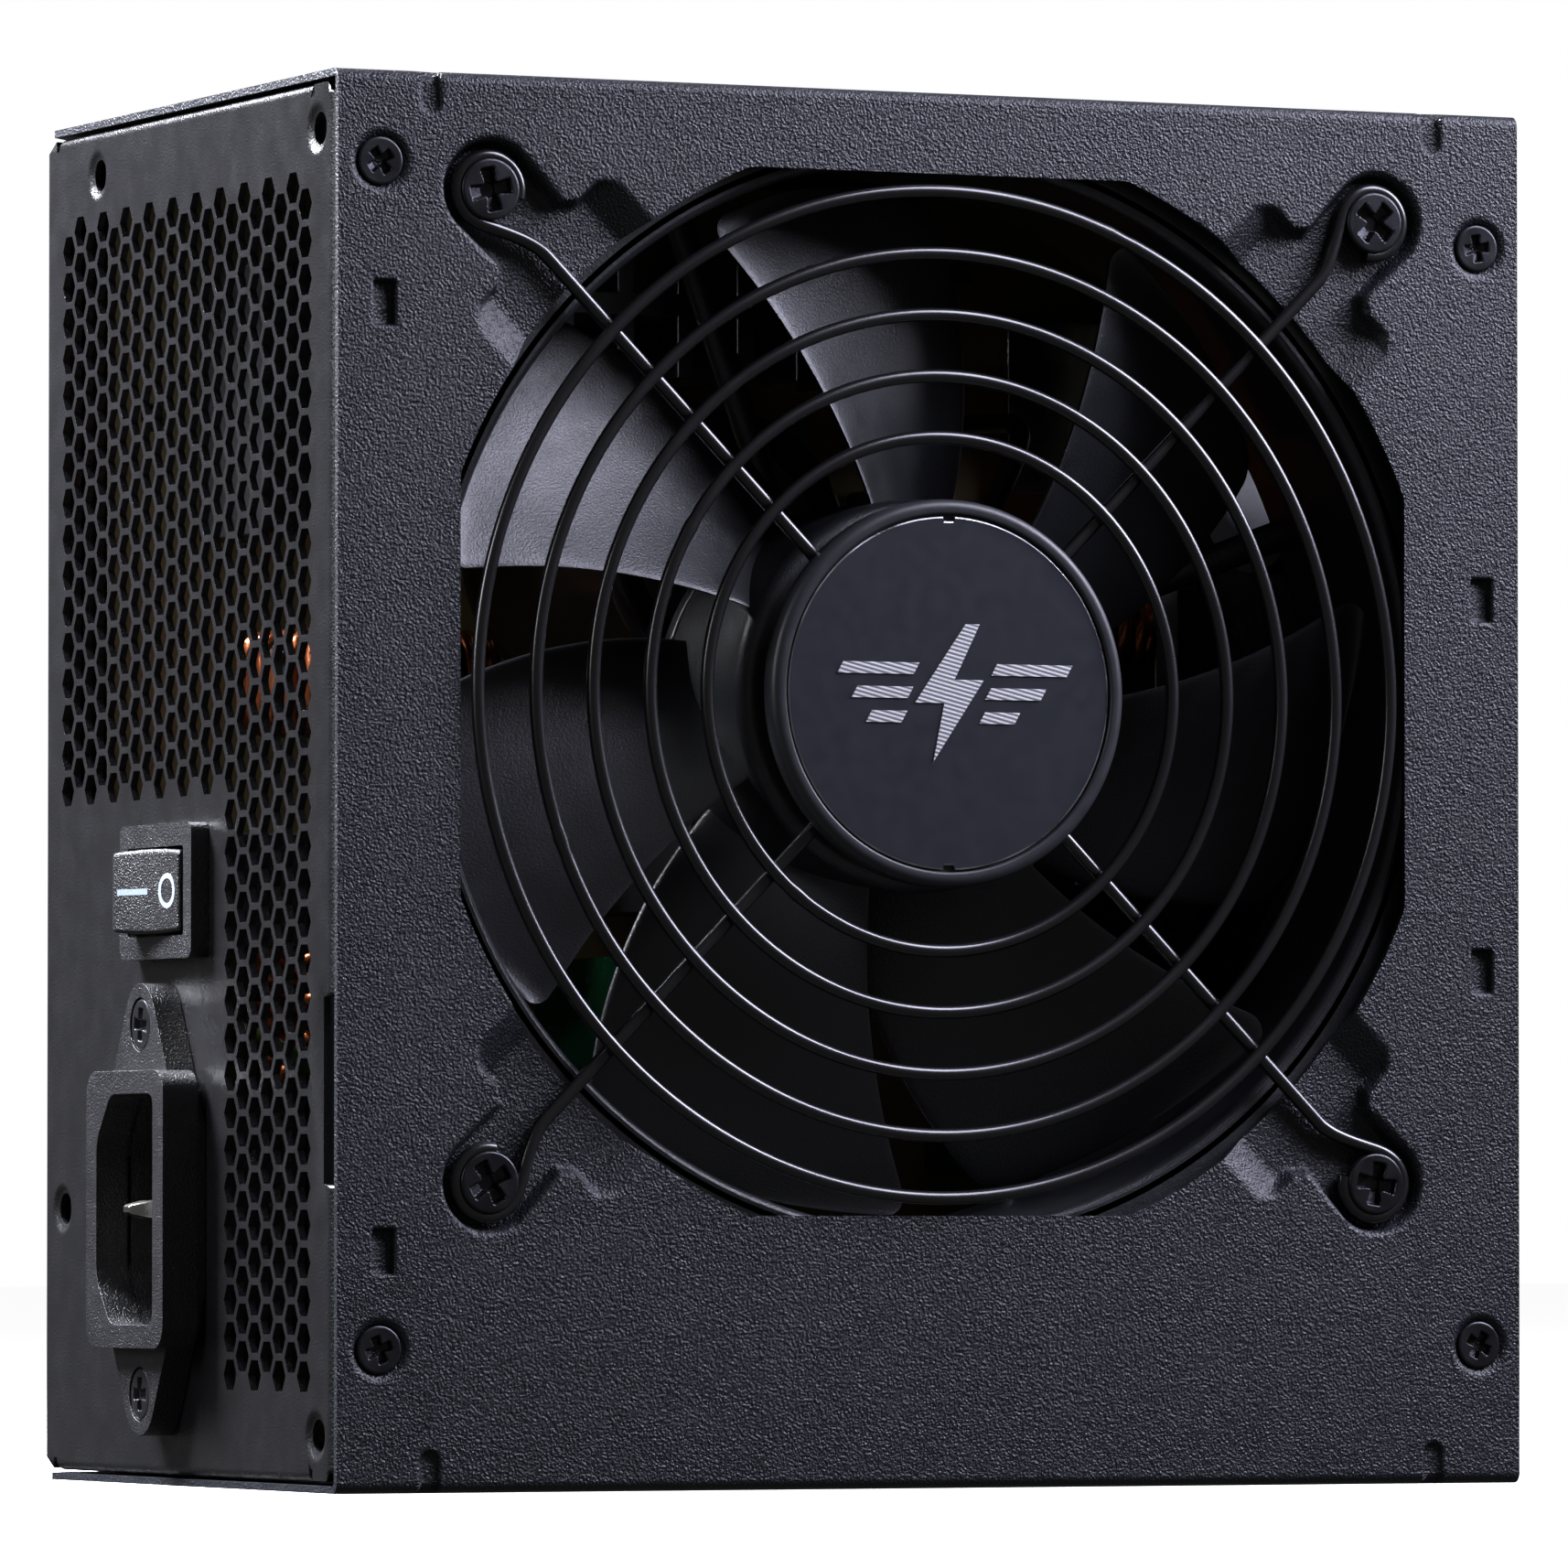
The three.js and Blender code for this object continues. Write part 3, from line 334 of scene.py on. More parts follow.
SLOT = {"half": 1.05, "reach": 4.4, "depth": 0.55, "wall": 0.5, "inset": 10.6}
edge_slots = [(x, z) for z in (TOP_Z, 0) for x in (REAR_X + SLOT["inset"], FRONT_X - SLOT["inset"])]
LUG = {"half_wide": 1.2, "half_high": 2.3, "depth": 1.1, "side_wall": 0.35, "end_wall": 0.5,
       "level": 0.8, "lean": 0.2, "tip": 0.1}
lugs = [(REAR_X + 5.3, TOP_Z - 24.7), (REAR_X + 5.3, 25.4), (FRONT_X - 4.5, 96.6), (FRONT_X - 4.5, 55.9)]
DIMPLE = {"radius": 3.6, "bottom": 1.7, "depth": 1.0}


def cover_depth(x, z):
    """Depth pressed into the fan side: sunk corners, cones for the screws, slots at the folds, and lugs
    whose faces lean, each eased over the width of its wall."""
    depth = recess_depth(x, z)
    for sx, sz in cover_screws:
        r = np.hypot(x - sx, z - sz)
        depth += DIMPLE["depth"] * smooth((DIMPLE["radius"] - r) / (DIMPLE["radius"] - DIMPLE["bottom"]))
    for sx, sz in edge_slots:
        inner = abs(z - sz) - (SLOT["reach"] - SLOT["half"])
        away = np.hypot(x - sx, np.maximum(inner, 0)) - SLOT["half"]
        depth += SLOT["depth"] * smooth(0.5 - away / SLOT["wall"])
    for sx, sz in lugs:
        across, up = (x - sx) / LUG["half_wide"], (z - sz) / LUG["half_high"]
        inside = smooth(0.5 - (np.abs(x - sx) - LUG["half_wide"]) / LUG["side_wall"])
        inside *= smooth(0.5 - (np.abs(z - sz) - LUG["half_high"]) / LUG["end_wall"])
        depth += LUG["depth"] * inside * np.clip(LUG["level"] + LUG["lean"] * across + LUG["tip"] * up, 0, 1)
    return depth


OPENING_HALF = 56
OPENING_RADIUS = 60.3


def opening_edge(angle):
    """Half width of the fan opening at an angle: a circle cut by a square, min(R, h / max(|cos|, |sin|))."""
    flat = OPENING_HALF / np.maximum(np.abs(np.cos(angle)), np.abs(np.sin(angle)))
    return np.minimum(OPENING_RADIUS, flat)


cover_wall = WALL_END - FAN_Y - COVER_FOLD
cover_arc = COVER_FOLD * math.pi / 2
front_start = cover_wall + cover_arc - COVER_FOLD
cover_length = 2 * cover_wall + 2 * cover_arc + TOP_Z - 2 * COVER_FOLD
angles = np.linspace(0, 2 * math.pi, 640, endpoint=False)
opening = stacked(opening_edge(angles) * np.cos(angles),
                  FAN_Z + opening_edge(angles) * np.sin(angles) + front_start)
fold_rows = [start + cover_arc * k / 5 for start in (cover_wall, cover_length - cover_wall - cover_arc)
             for k in range(6)]
fold_lines = [stacked(spread(REAR_X, FRONT_X, 1.0), row) for row in fold_rows]

# Free points lie closer together where the sheet is pressed: patches about 93% of the way out to the fan
# screws, rings round the cover screws, and small patches at the lugs and the slots.
PATCH_OUT = 0.93
details = [patch((x * PATCH_OUT, FAN_Z + (z - FAN_Z) * PATCH_OUT + front_start), 14.2, 14.2, 0.36,
                 math.pi / 4) for x, z in fan_screws]
details += [rings((x, z + front_start), np.arange(1.9, 3.9, 0.2), 40) for x, z in cover_screws]
details += [patch((x, z + front_start), 1.8, 2.8, 0.18) for x, z in lugs]
details += [patch((x, abs(z - 3.2) + front_start + (0 if z else -0.8)), 1.7, 2.9, 0.2) for x, z in edge_slots]
details = np.concatenate(details)
away = np.hypot(details[:, 0], details[:, 1] - front_start - FAN_Z)
bearing = np.arctan2(details[:, 1] - front_start - FAN_Z, details[:, 0])
details = details[(away > opening_edge(bearing) + 0.2) & (np.abs(details[:, 0]) < FRONT_X - 0.15)]
CORNER_CUT = 2.4
outline = [(REAR_X + CORNER_CUT, 0), (FRONT_X - CORNER_CUT, 0), (FRONT_X, CORNER_CUT),
           (FRONT_X, cover_length - CORNER_CUT), (FRONT_X - CORNER_CUT, cover_length),
           (REAR_X + CORNER_CUT, cover_length), (REAR_X, cover_length - CORNER_CUT), (REAR_X, CORNER_CUT)]
flat, faces = blank(outline, [opening], fold_lines, [details])
place, inward = fold(flat[:, 1], [(WALL_END, 0), (FAN_Y, 0), (FAN_Y, TOP_Z), (WALL_END, TOP_Z)], COVER_FOLD)
pressed = cover_depth(flat[:, 0], flat[:, 1] - front_start)
pressed[(flat[:, 1] < cover_wall) | (flat[:, 1] > cover_length - cover_wall)] = 0
shell, faces = thicken(stacked(flat[:, 0], *(place + inward * pressed[:, None]).T), faces, SHEET)


DRIFT = {"size": 14, "low": 0.3, "high": 0.7}


def grain(material, size, height, tints, rough, detail=2.0, stretch=(1, 1, 1), cells=0.0):
    """Adds a surface grain: noise with a grain size in millimetres tilts the surface by a height in
    millimetres. A drift 14 grains wide varies the colour between two tints, and the roughness between two
    values. Cells add round bumps of the grain's size."""
    tree = material.node_tree
    shader = tree.nodes["Principled BSDF"]
    coords = node(tree, "TexCoord").outputs["Object"]
    scaled = node(tree, "Mapping", {"Vector": coords, "Scale": stretch}).outputs["Vector"]
    noise = node(tree, "TexNoise", {"Vector": scaled, "Scale": 1 / (size * MM), "Detail": detail})
    level = noise.outputs["Fac"]
    if cells:
        cell = node(tree, "TexVoronoi", {"Vector": scaled, "Scale": 1 / (size * MM)}, feature="SMOOTH_F1")
        level = node(tree, "Math", {0: cell.outputs["Distance"], 1: cells, 2: level},
                     operation="MULTIPLY_ADD").outputs["Value"]
    bump = node(tree, "Bump", {"Height": level, "Distance": height * MM, "Strength": 1.0})
    tree.links.new(bump.outputs["Normal"], shader.inputs["Normal"])
    drift = node(tree, "TexNoise", {"Vector": coords, "Scale": 1 / (size * DRIFT["size"] * MM),
                                    "Detail": 3.0})
    mixed = node(tree, "MixRGB", {"Fac": drift.outputs["Fac"], "Color1": linear(tints[0]),
                                  "Color2": linear(tints[1])})
    tree.links.new(mixed.outputs["Color"], shader.inputs["Base Color"])
    varied = node(tree, "MapRange", {"Value": drift.outputs["Fac"], "From Min": DRIFT["low"],
                                     "From Max": DRIFT["high"], "To Min": rough[0], "To Max": rough[1]})
    tree.links.new(varied.outputs["Result"], shader.inputs["Roughness"])
    return material


# Black powder coat with a fine leather grain of 0.28 mm, baked on steel: a grey, lively, even sheen.
wrinkle_coat = grain(finish("wrinkle_powder_coat", "#1c1e23", 0.37), 0.28, 0.17,
                     ("#1a1c21", "#1f2127"), (0.34, 0.42), detail=3.0, cells=0.6)
piece("folded_cover", shell, faces, wrinkle_coat, "black_powder_coat", nodes=["fan_side_cover"],
      bevel=0.12, sharp=60)

# ---------------------------------------------------------------- tray
# The other steel channel: mains panel, base and cable end in one folded sheet. Punched with a honeycomb of
# small six-sided vents, and with the holes for the inlet, the switch, the cable bush and the case screws.

TRAY_FOLD = 1.6
LIP_FOLD = 1.1
tray_low, tray_high = box_of("chassis_tray")
LIP_WIDTH = 10.5
TRAY_LOW_Z, TRAY_HIGH_Z, LIP_Y = tray_low[2], tray_high[2], tray_low[1]
PIN_FROM_INLET = np.array([-2, 7])
inlet = middle_of("inlet_pin_line")[[1, 2]] - PIN_FROM_INLET
switch = middle_of("switch_housing")[[1, 2]]
outlet = middle_of("cable_outlet_bush")[[1, 2]]
OUTLET_RADIUS = 13.5

tray_path = [(REAR_X + LIP_WIDTH, LIP_Y), (REAR_X, LIP_Y), (REAR_X, BASE_Y), (FRONT_X, BASE_Y),
             (FRONT_X, LIP_Y), (FRONT_X - LIP_WIDTH, LIP_Y)]
tray_arc = TRAY_FOLD * math.pi / 2
lip_run = LIP_WIDTH - TRAY_FOLD
panel_run = BASE_Y - LIP_Y - 2 * TRAY_FOLD
base_run = FRONT_X - REAR_X - 2 * TRAY_FOLD
tray_length = 2 * (lip_run + panel_run) + base_run + 4 * tray_arc
rear_start = lip_run + tray_arc
far_start = rear_start + panel_run + 2 * tray_arc + base_run


def on_rear(y):
    """Distance along the tray's path of a height y on the mains panel."""
    return rear_start + y - LIP_Y - TRAY_FOLD


def on_end(y):
    """Distance along the tray's path of a height y on the cable end."""
    return far_start + BASE_Y - TRAY_FOLD - y


VENT = {"pitch": 4.0, "flats": 3.25, "top": TOP_Z - 13.8, "first": BASE_Y - 7.5, "columns": 21,
        "short": 14, "short_rows": 16, "long_rows": 32}


def vents():
    """Six-sided holes on a honeycomb: columns sqrt(3) / 2 pitches apart, every other one half a pitch up."""
    corner = np.arange(6) * math.pi / 3
    across, up = VENT["flats"] / math.sqrt(3) * np.cos(corner), VENT["flats"] / math.sqrt(3) * np.sin(corner)
    holes = []
    for k in range(VENT["columns"]):
        y = VENT["first"] - k * VENT["pitch"] * math.sqrt(3) / 2
        for n in range(VENT["short_rows"] if k < VENT["short"] else VENT["long_rows"]):
            z = VENT["top"] - VENT["pitch"] * (n - 0.5 * (k % 2))
            holes.append(stacked(on_rear(y) + across, z + up))
    return holes


def rounded_rectangle(middle, width, height, radius, steps=6):
    """A rectangle whose corners are quarter circles, anticlockwise."""
    turn = np.linspace(0, math.pi / 2, steps + 1)
    loop = []
    for k, (sx, sy) in enumerate([(1, 1), (-1, 1), (-1, -1), (1, -1)]):
        a = turn + k * math.pi / 2
        corner = (middle[0] + sx * (width / 2 - radius), middle[1] + sy * (height / 2 - radius))
        loop.append(stacked(corner[0] + radius * np.cos(a), corner[1] + radius * np.sin(a)))
    return np.concatenate(loop)


case_screws = [(FAN_Y + 6, TOP_Z - 6), (FAN_Y + 70, TOP_Z - 6), (FAN_Y + 6, 6), (FAN_Y + 80, 30)]
SCREW_HOLE = {"radius": 1.75, "rim": 2.9, "depth": 0.45}
CUTOUT = {"inlet": (20, 28.5, 3), "switch": (18.9, 12.9, 0.5)}
NOTCH = {"low": 32.5, "high": 52.2, "deep": 2.6}
TAB = {"low": BASE_Y - 4.5, "high": LIP_Y + 6.5, "length": 5.0, "slit": 0.9, "corner": 1.2}
SETBACK = {"lip": 1.1, "lip_end": 0.6, "edge": 0.2, "bend": 0.3}
lip_arc = LIP_FOLD * math.pi / 2
bend_low, bend_high = TRAY_LOW_Z + LIP_FOLD, TRAY_HIGH_Z - LIP_FOLD
tab_spans = [sorted((place(TAB["low"]), place(TAB["high"]))) for place in (on_rear, on_end)]


def tray_outline():
    """The flat tray: a long strip with a tab above and below each end panel, slits beside the tabs, the
    four lips set back at the corners, and a relief notch in the mains panel's fan-side fold."""
    lip_z = TRAY_HIGH_Z - SETBACK["lip"]
    edge_z = TRAY_HIGH_Z - SETBACK["edge"]
    bend_z = bend_high - SETBACK["bend"]
    reach = bend_high + lip_arc + TAB["length"] - LIP_FOLD
    top = [(lip_run + tray_arc - SETBACK["lip_end"], lip_z), (rear_start + SETBACK["edge"], edge_z)]
    for start, stop in tab_spans:
        top += [(start - TAB["slit"], edge_z), (start - TAB["slit"], bend_z), (start, bend_z),
                (start, reach - TAB["corner"]), (start + TAB["corner"], reach), (stop - TAB["corner"], reach),
                (stop, reach - TAB["corner"]), (stop, bend_z), (stop + TAB["slit"], bend_z),
                (stop + TAB["slit"], edge_z)]
    top += [(tray_length - rear_start - SETBACK["edge"], edge_z),
            (tray_length - lip_run - tray_arc + SETBACK["lip_end"], lip_z), (tray_length, lip_z)]
    flip = TRAY_LOW_Z + TRAY_HIGH_Z
    bottom = [(s, flip - z) for s, z in top]
    notch_s = rear_start + NOTCH["deep"] - TRAY_FOLD
    notch = [(0, NOTCH["high"]), (notch_s, NOTCH["high"]), (notch_s, NOTCH["low"]), (0, NOTCH["low"])]
    return [(0, bottom[0][1]), *bottom, *top[::-1], (0, top[0][1]), *notch]


def end_fold(z, tabbed):
    """Folds the tabs inwards above and below: height bend + R sin a, depth R (1 - cos a) + what is left."""
    over = np.maximum(z - bend_high, bend_low - z) * tabbed
    a = np.clip(over / LIP_FOLD, 0, math.pi / 2)
    inside = LIP_FOLD * (1 - np.cos(a)) + np.maximum(over - lip_arc, 0)
    folded = np.where(z > TOP_Z / 2, bend_high + LIP_FOLD * np.sin(a), bend_low - LIP_FOLD * np.sin(a))
    return np.where(over > 0, folded, z), np.where(over > 0, inside, 0)


tray_rows = []
for start in (lip_run, rear_start + panel_run, rear_start + panel_run + tray_arc + base_run,
              tray_length - lip_run - tray_arc):
    for k in range(6):
        s = start + tray_arc * k / 5
        gap = (NOTCH["high"] + 0.4, NOTCH["low"] - 0.4) if start == lip_run else (75, 75)
        for z0, z1 in ((TRAY_LOW_Z + 1.4, gap[1]), (gap[0], TRAY_HIGH_Z - 1.4)):
            tray_rows.append(stacked(s, spread(z0, z1, 3.0)))
for start, stop in tab_spans:
    for k in range(6):
        for z in (bend_low - lip_arc * k / 5, bend_high + lip_arc * k / 5):
            tray_rows.append(stacked(spread(start + 0.05, stop - 0.05, 4.0), z))

panel_holes = vents()
panel_holes += [circle((on_rear(y), z), SCREW_HOLE["radius"], 28) for y, z in case_screws]
panel_holes += [rounded_rectangle((on_rear(inlet[0]), inlet[1]), *CUTOUT["inlet"]),
                rounded_rectangle((on_rear(switch[0]), switch[1]), *CUTOUT["switch"]),
                circle((on_end(outlet[0]), outlet[1]), OUTLET_RADIUS, 72)]
dish_rings = [rings((on_rear(y), z), np.arange(1.95, 3.2, 0.24), 28) for y, z in case_screws]
flat, faces = blank(tray_outline(), panel_holes, tray_rows, dish_rings)
tabbed = np.zeros(len(flat), bool)
for start, stop in tab_spans:
    tabbed |= (flat[:, 0] > start - 0.05) & (flat[:, 0] < stop + 0.05)
place, inward = fold(flat[:, 0], tray_path, TRAY_FOLD)
height, inside = end_fold(flat[:, 1], tabbed)
for y, z in case_screws:
    r = np.hypot(flat[:, 0] - on_rear(y), flat[:, 1] - z)
    inside = inside + SCREW_HOLE["depth"] * smooth((SCREW_HOLE["rim"] - r)
                                                   / (SCREW_HOLE["rim"] - SCREW_HOLE["radius"]))
shell, faces = thicken(stacked(*(place + inward * inside[:, None]).T, height), faces[:, ::-1], SHEET)

# The same black powder coat, but sprayed finer: a smoother, slightly browner sheen with small flecks.
smooth_coat = grain(finish("smooth_powder_coat", "#18181a", 0.26), 0.28, 0.08,
                    ("#161617", "#1b1b1d"), (0.23, 0.3), detail=2.0)
piece("folded_tray", shell, faces, smooth_coat, "black_powder_coat", nodes=["chassis_tray"],
      bevel=0.24, sharp=50)

# ---------------------------------------------------------------- screws
# Cold-headed steel screws, zinc plated and blackened. Four countersunk ones hold the cover, four pan heads
# hold the fan and its guard, two countersunk ones hold the mains inlet. All have a cross recess.


def grid_faces(rows, columns, closed_rows=False, closed_columns=False):
    """Four-sided faces between the points of a grid; a closed way joins its last points to its first."""
    i, j = np.meshgrid(np.arange(rows - (not closed_rows)), np.arange(columns - (not closed_columns)),
                       indexing="ij")
    down, right = (i + 1) % rows, (j + 1) % columns
    return stacked(i * columns + j, i * columns + right, down * columns + right,
                   down * columns + j).reshape(-1, 4)


ALONG = {"x": [1, 0, 2], "y": [0, 1, 2], "z": [0, 2, 1]}


def turned(profile, count, place=(0, 0, 0), axis="y", closed=False):
    """Turns a profile of (radius, depth) points about an axis through a place: (r cos a, depth, r sin a),
    with the depth along X, Y or Z. A closed profile is the section of a ring."""
    r, y = np.array(profile, float).T
    a = np.linspace(0, 2 * math.pi, count, endpoint=False)
    grid = stacked(r[:, None] * np.cos(a), y[:, None], r[:, None] * np.sin(a))[..., ALONG[axis]]
    return grid.reshape(-1, 3) + np.array(place), grid_faces(len(profile), count, closed, True)


COUNTERSUNK = 0.2
BAR = {"spread": 0.45, "rise": 0.45, "side_wall": 0.22, "end_wall": 0.35, "middle": 1.5, "middle_wall": 0.3}
CROSS_ANGLE = {"fan_screw": (12, 48, 80, 30), "cover_screw": (35, 8, 60, 20), "inlet_screw": (5, 0)}


def cross_screw(head, edge, dome, shank, length, cross, turn):
    """A screw along +Y with its head at y = 0. Head and shank are a profile turned about the axis; the cross
    is pressed into the head: two bars, wider at their ends and deeper towards the middle, and a round pit.
    A head with a thin edge is countersunk."""
    radii = np.concatenate([np.linspace(0, cross["reach"] + 0.3, 30),
                            np.linspace(cross["reach"] + 0.4, head - 0.25, 6)])
    top = [(r, -dome * (1 - (r / head) ** 2)) for r in radii]
    under = (shank, edge + head - shank) if edge < COUNTERSUNK else (shank, edge)
    rim = [(head - 0.1, 0.04), (head, 0.15), (head, edge), under]
    profile = [*top, *rim, (shank, length - 0.8), (shank * 0.6, length), (0, length)]
    points, faces = turned(profile, 96)
    u = points[:, 0] * math.cos(turn) + points[:, 2] * math.sin(turn)
    v = points[:, 2] * math.cos(turn) - points[:, 0] * math.sin(turn)
    sunk = np.zeros_like(u)
    for along, across in ((u, v), (v, u)):
        share = np.abs(along) / cross["reach"]
        width = cross["half"] * (0.75 + BAR["spread"] * share)
        bar = smooth(0.5 + (width - np.abs(across)) / BAR["side_wall"])
        bar *= smooth(0.5 + (cross["reach"] - np.abs(along)) / BAR["end_wall"])
        sunk = np.maximum(sunk, bar * cross["depth"] * (1 - BAR["rise"] * share))
    middle = (cross["half"] * BAR["middle"] - np.hypot(u, v)) / BAR["middle_wall"]
    sunk = np.maximum(sunk, cross["depth"] * smooth(0.5 + middle))
    sunk[len(top) * 96:] = 0
    points[:, 1] += sunk
    return points, faces


# Black zinc on steel: a dark metal with a soft, slightly scratched shine, brighter in places.
black_zinc = grain(finish("black_zinc_steel", "#3a3a3d", 0.34, 0.85), 0.25, 0.02,
                   ("#303033", "#444448"), (0.28, 0.42), detail=4.0)

KINDS = {
    "cover_screw": dict(head=2.55, edge=0.12, dome=0.0, shank=1.3, length=5.0,
                        cross={"half": 0.42, "reach": 1.4, "depth": 1.1}),
    "fan_screw": dict(head=3.3, edge=0.95, dome=0.1, shank=1.7, length=13.0,
                      cross={"half": 0.62, "reach": 2.25, "depth": 1.5}),
    "inlet_screw": dict(head=2.8, edge=0.12, dome=0.1, shank=1.4, length=8.0,
                        cross={"half": 0.5, "reach": 1.7, "depth": 1.2}),
}
for kind, form in KINDS.items():
    for i, turn in enumerate(CROSS_ANGLE[kind], 1):
        points, faces = cross_screw(**form, turn=math.radians(turn))
        lowest = box_of(f"{kind}_{i}")[0]
        centre = middle_of(f"{kind}_{i}")
        if kind == "inlet_screw":
            points = points[:, ALONG["x"]] + np.array([lowest[0], centre[1], centre[2]])
        else:
            points = points + np.array([centre[0], lowest[1], centre[2]])
        piece(f"{kind}_{i}_blackened", points, faces, black_zinc, "black_screw", nodes=[f"{kind}_{i}"],
              sharp=50, merge=True)

# ---------------------------------------------------------------- wire guard
# Five rings of 1.4 mm steel wire stand in front of four spokes, which are welded to them and end in an open
# eye round each fan screw. Each ring's ends are butt welded at its own angle. The guard is dipped in black.

DIPPED_RADIUS = 0.74
SEAMS = {27.6: 232, 34.2: 150, 40.8: 128, 47.4: 200, 54.1: 68}
HIDDEN_RING = 16.5
EYE = 3.6
guard_low, guard_high = box_of("wire_fan_guard")
HALF_WIRE = 0.7
RING_Y = guard_low[1] + HALF_WIRE
SPOKE_Y = guard_high[1] - HALF_WIRE


def sweep(path, radii, sides, reference, closed=False):
    """Carries a circle along a path: point + r (n cos a + b sin a), where b is across the way and the
    reference direction. An open path is closed at both ends by a circle of no width."""
    path = np.asarray(path, float)
    if closed:
        way = np.roll(path, -1, axis=0) - np.roll(path, 1, axis=0)
    else:
        way = np.gradient(path, axis=0)
    way /= np.linalg.norm(way, axis=1)[:, None]
    radii = np.broadcast_to(np.asarray(radii, float), len(path)).copy()
    if not closed:
        path, way = path[[0, *range(len(path)), -1]], way[[0, *range(len(way)), -1]]
        radii = np.concatenate([[0], radii, [0]])
    across = np.cross(way, reference)
    across /= np.linalg.norm(across, axis=1)[:, None]
    up = np.cross(across, way)
    a = np.linspace(0, 2 * math.pi, sides, endpoint=False)[None, :, None]
    points = path[:, None] + radii[:, None, None] * (up[:, None] * np.cos(a) + across[:, None] * np.sin(a))
    return points.reshape(-1, 3), grid_faces(len(path), sides, closed_rows=closed, closed_columns=True)


def joined(parts):
    """Puts several sets of points and faces into one."""
    points, faces, count = [], [], 0
    for some_points, some_faces in parts:
        points.append(np.asarray(some_points))
        faces += (np.asarray(some_faces) + count).tolist() if not isinstance(some_faces, list) else [
            [i + count for i in face] for face in some_faces]
        count += len(some_points)
    return np.concatenate(points), faces


WIRE_SIDES = 14
WELD = {"bead": 0.07, "half": 0.9, "groove": 0.06, "groove_at": 1.4, "groove_half": 0.4}


def guard_ring(radius, seam):
    """A ring of wire in the XZ plane. Where its ends were welded it swells by a bell curve, with a fine
    groove on each side."""
    a = np.linspace(0, 2 * math.pi, 200, endpoint=False)
    path = stacked(radius * np.cos(a), RING_Y, FAN_Z + radius * np.sin(a))
    from_seam = np.abs((a - seam + math.pi) % (2 * math.pi) - math.pi) * radius
    bead = WELD["bead"] * np.exp(-(from_seam / WELD["half"]) ** 2)
    bead -= WELD["groove"] * np.exp(-((from_seam - WELD["groove_at"]) / WELD["groove_half"]) ** 2)
    return sweep(path, DIPPED_RADIUS + bead, WIRE_SIDES, (0, 1, 0), closed=True)


NECK_START, NECK_PULL = 9.6, 6.6
EYE_ARC = (0.40 * math.pi, 1.82 * math.pi)


def guard_spoke(x, z):
    """A spoke: straight out from the hidden ring, a neck eased sideways by a cubic curve of four knots,
    then an open eye round the screw, which is an arc of 255 degrees about the screw's axis. Ends in a cut
    face."""
    reach = math.hypot(x, FAN_Z - z)
    inwards = np.array([-x, FAN_Z - z]) / reach
    side = np.array([inwards[1], -inwards[0]])
    a = np.linspace(*EYE_ARC, 60)
    eye = stacked(EYE * np.cos(a), EYE * np.sin(a))
    t = np.linspace(0, 1, 25)[:, None]
    knots = np.array([(NECK_START, 0.0), (NECK_PULL, 0.0), (eye[0, 0] + 1.4, eye[0, 1] - 0.25), eye[0]])
    neck = ((1 - t) ** 3 * knots[0] + 3 * (1 - t) ** 2 * t * knots[1]
            + 3 * (1 - t) * t ** 2 * knots[2] + t ** 3 * knots[3])
    run = stacked(spread(reach - HIDDEN_RING, 10.2, 2.0), 0.0)
    local = np.concatenate([run, neck, eye[1:]])
    flat_path = np.array([x, z]) + local[:, :1] * inwards + local[:, 1:] * side
    return sweep(stacked(flat_path[:, 0], SPOKE_Y, flat_path[:, 1]), DIPPED_RADIUS, WIRE_SIDES, (0, 1, 0))


wires = [guard_ring(radius, math.radians(seam)) for radius, seam in SEAMS.items()]
wires += [guard_ring(HIDDEN_RING, 0.0)] + [guard_spoke(x, z) for x, z in fan_screws]

# Black dip coat on wire: dark and smooth, with a long soft highlight along each wire.
dipped_wire = grain(finish("black_dipped_wire", "#121214", 0.25, **{"Specular IOR Level": 0.9}), 1.5, 0.003,
                    ("#111113", "#161618"), (0.22, 0.29))
piece("ringed_wire_guard", *joined(wires), dipped_wire, "coated_wire", nodes=["wire_fan_guard"],
      sharp=60, merge=True)

# ---------------------------------------------------------------- centre cap and badge
# A moulded ABS cup snaps over the hidden inner ring of the guard. A thin printed aluminium disc with a
# guillotined bright edge and two small locating notches is glued into it, with a raised silver emblem.

cap_low, cap_high = box_of("guard_centre_cap")
CAP_RADIUS, CAP_FRONT, CAP_BACK = cap_high[0], cap_low[1], cap_high[1]
CAP_BORE, CAP_SEAT, CAP_WALL, CAP_FLOOR = 19.2, CAP_FRONT + 0.8, 1.2, 0.6


def arc(centre, radius, start, stop, steps):
    """Points of a round stretch in a profile: centre + radius (cos a, sin a), angles in degrees."""
    a = np.radians(np.linspace(start, stop, steps + 1))
    return [(centre[0] + radius * math.cos(t), centre[1] + radius * math.sin(t)) for t in a]


cap_profile = [(0, CAP_SEAT), (CAP_BORE, CAP_SEAT), (CAP_BORE, CAP_FRONT + 0.35),
               *arc((CAP_BORE + 0.3, CAP_FRONT + 0.32), 0.3, 180, 270, 4),
               *arc((CAP_RADIUS - 1.0, CAP_FRONT + 1.0), 1.0, 270, 360, 8),
               (CAP_RADIUS, CAP_BACK - 0.2), (CAP_RADIUS - 0.2, CAP_BACK), (CAP_RADIUS - CAP_WALL, CAP_BACK),
               (CAP_RADIUS - CAP_WALL, CAP_SEAT + CAP_FLOOR), (0, CAP_SEAT + CAP_FLOOR)]
fan_axis = (0, 0, FAN_Z)

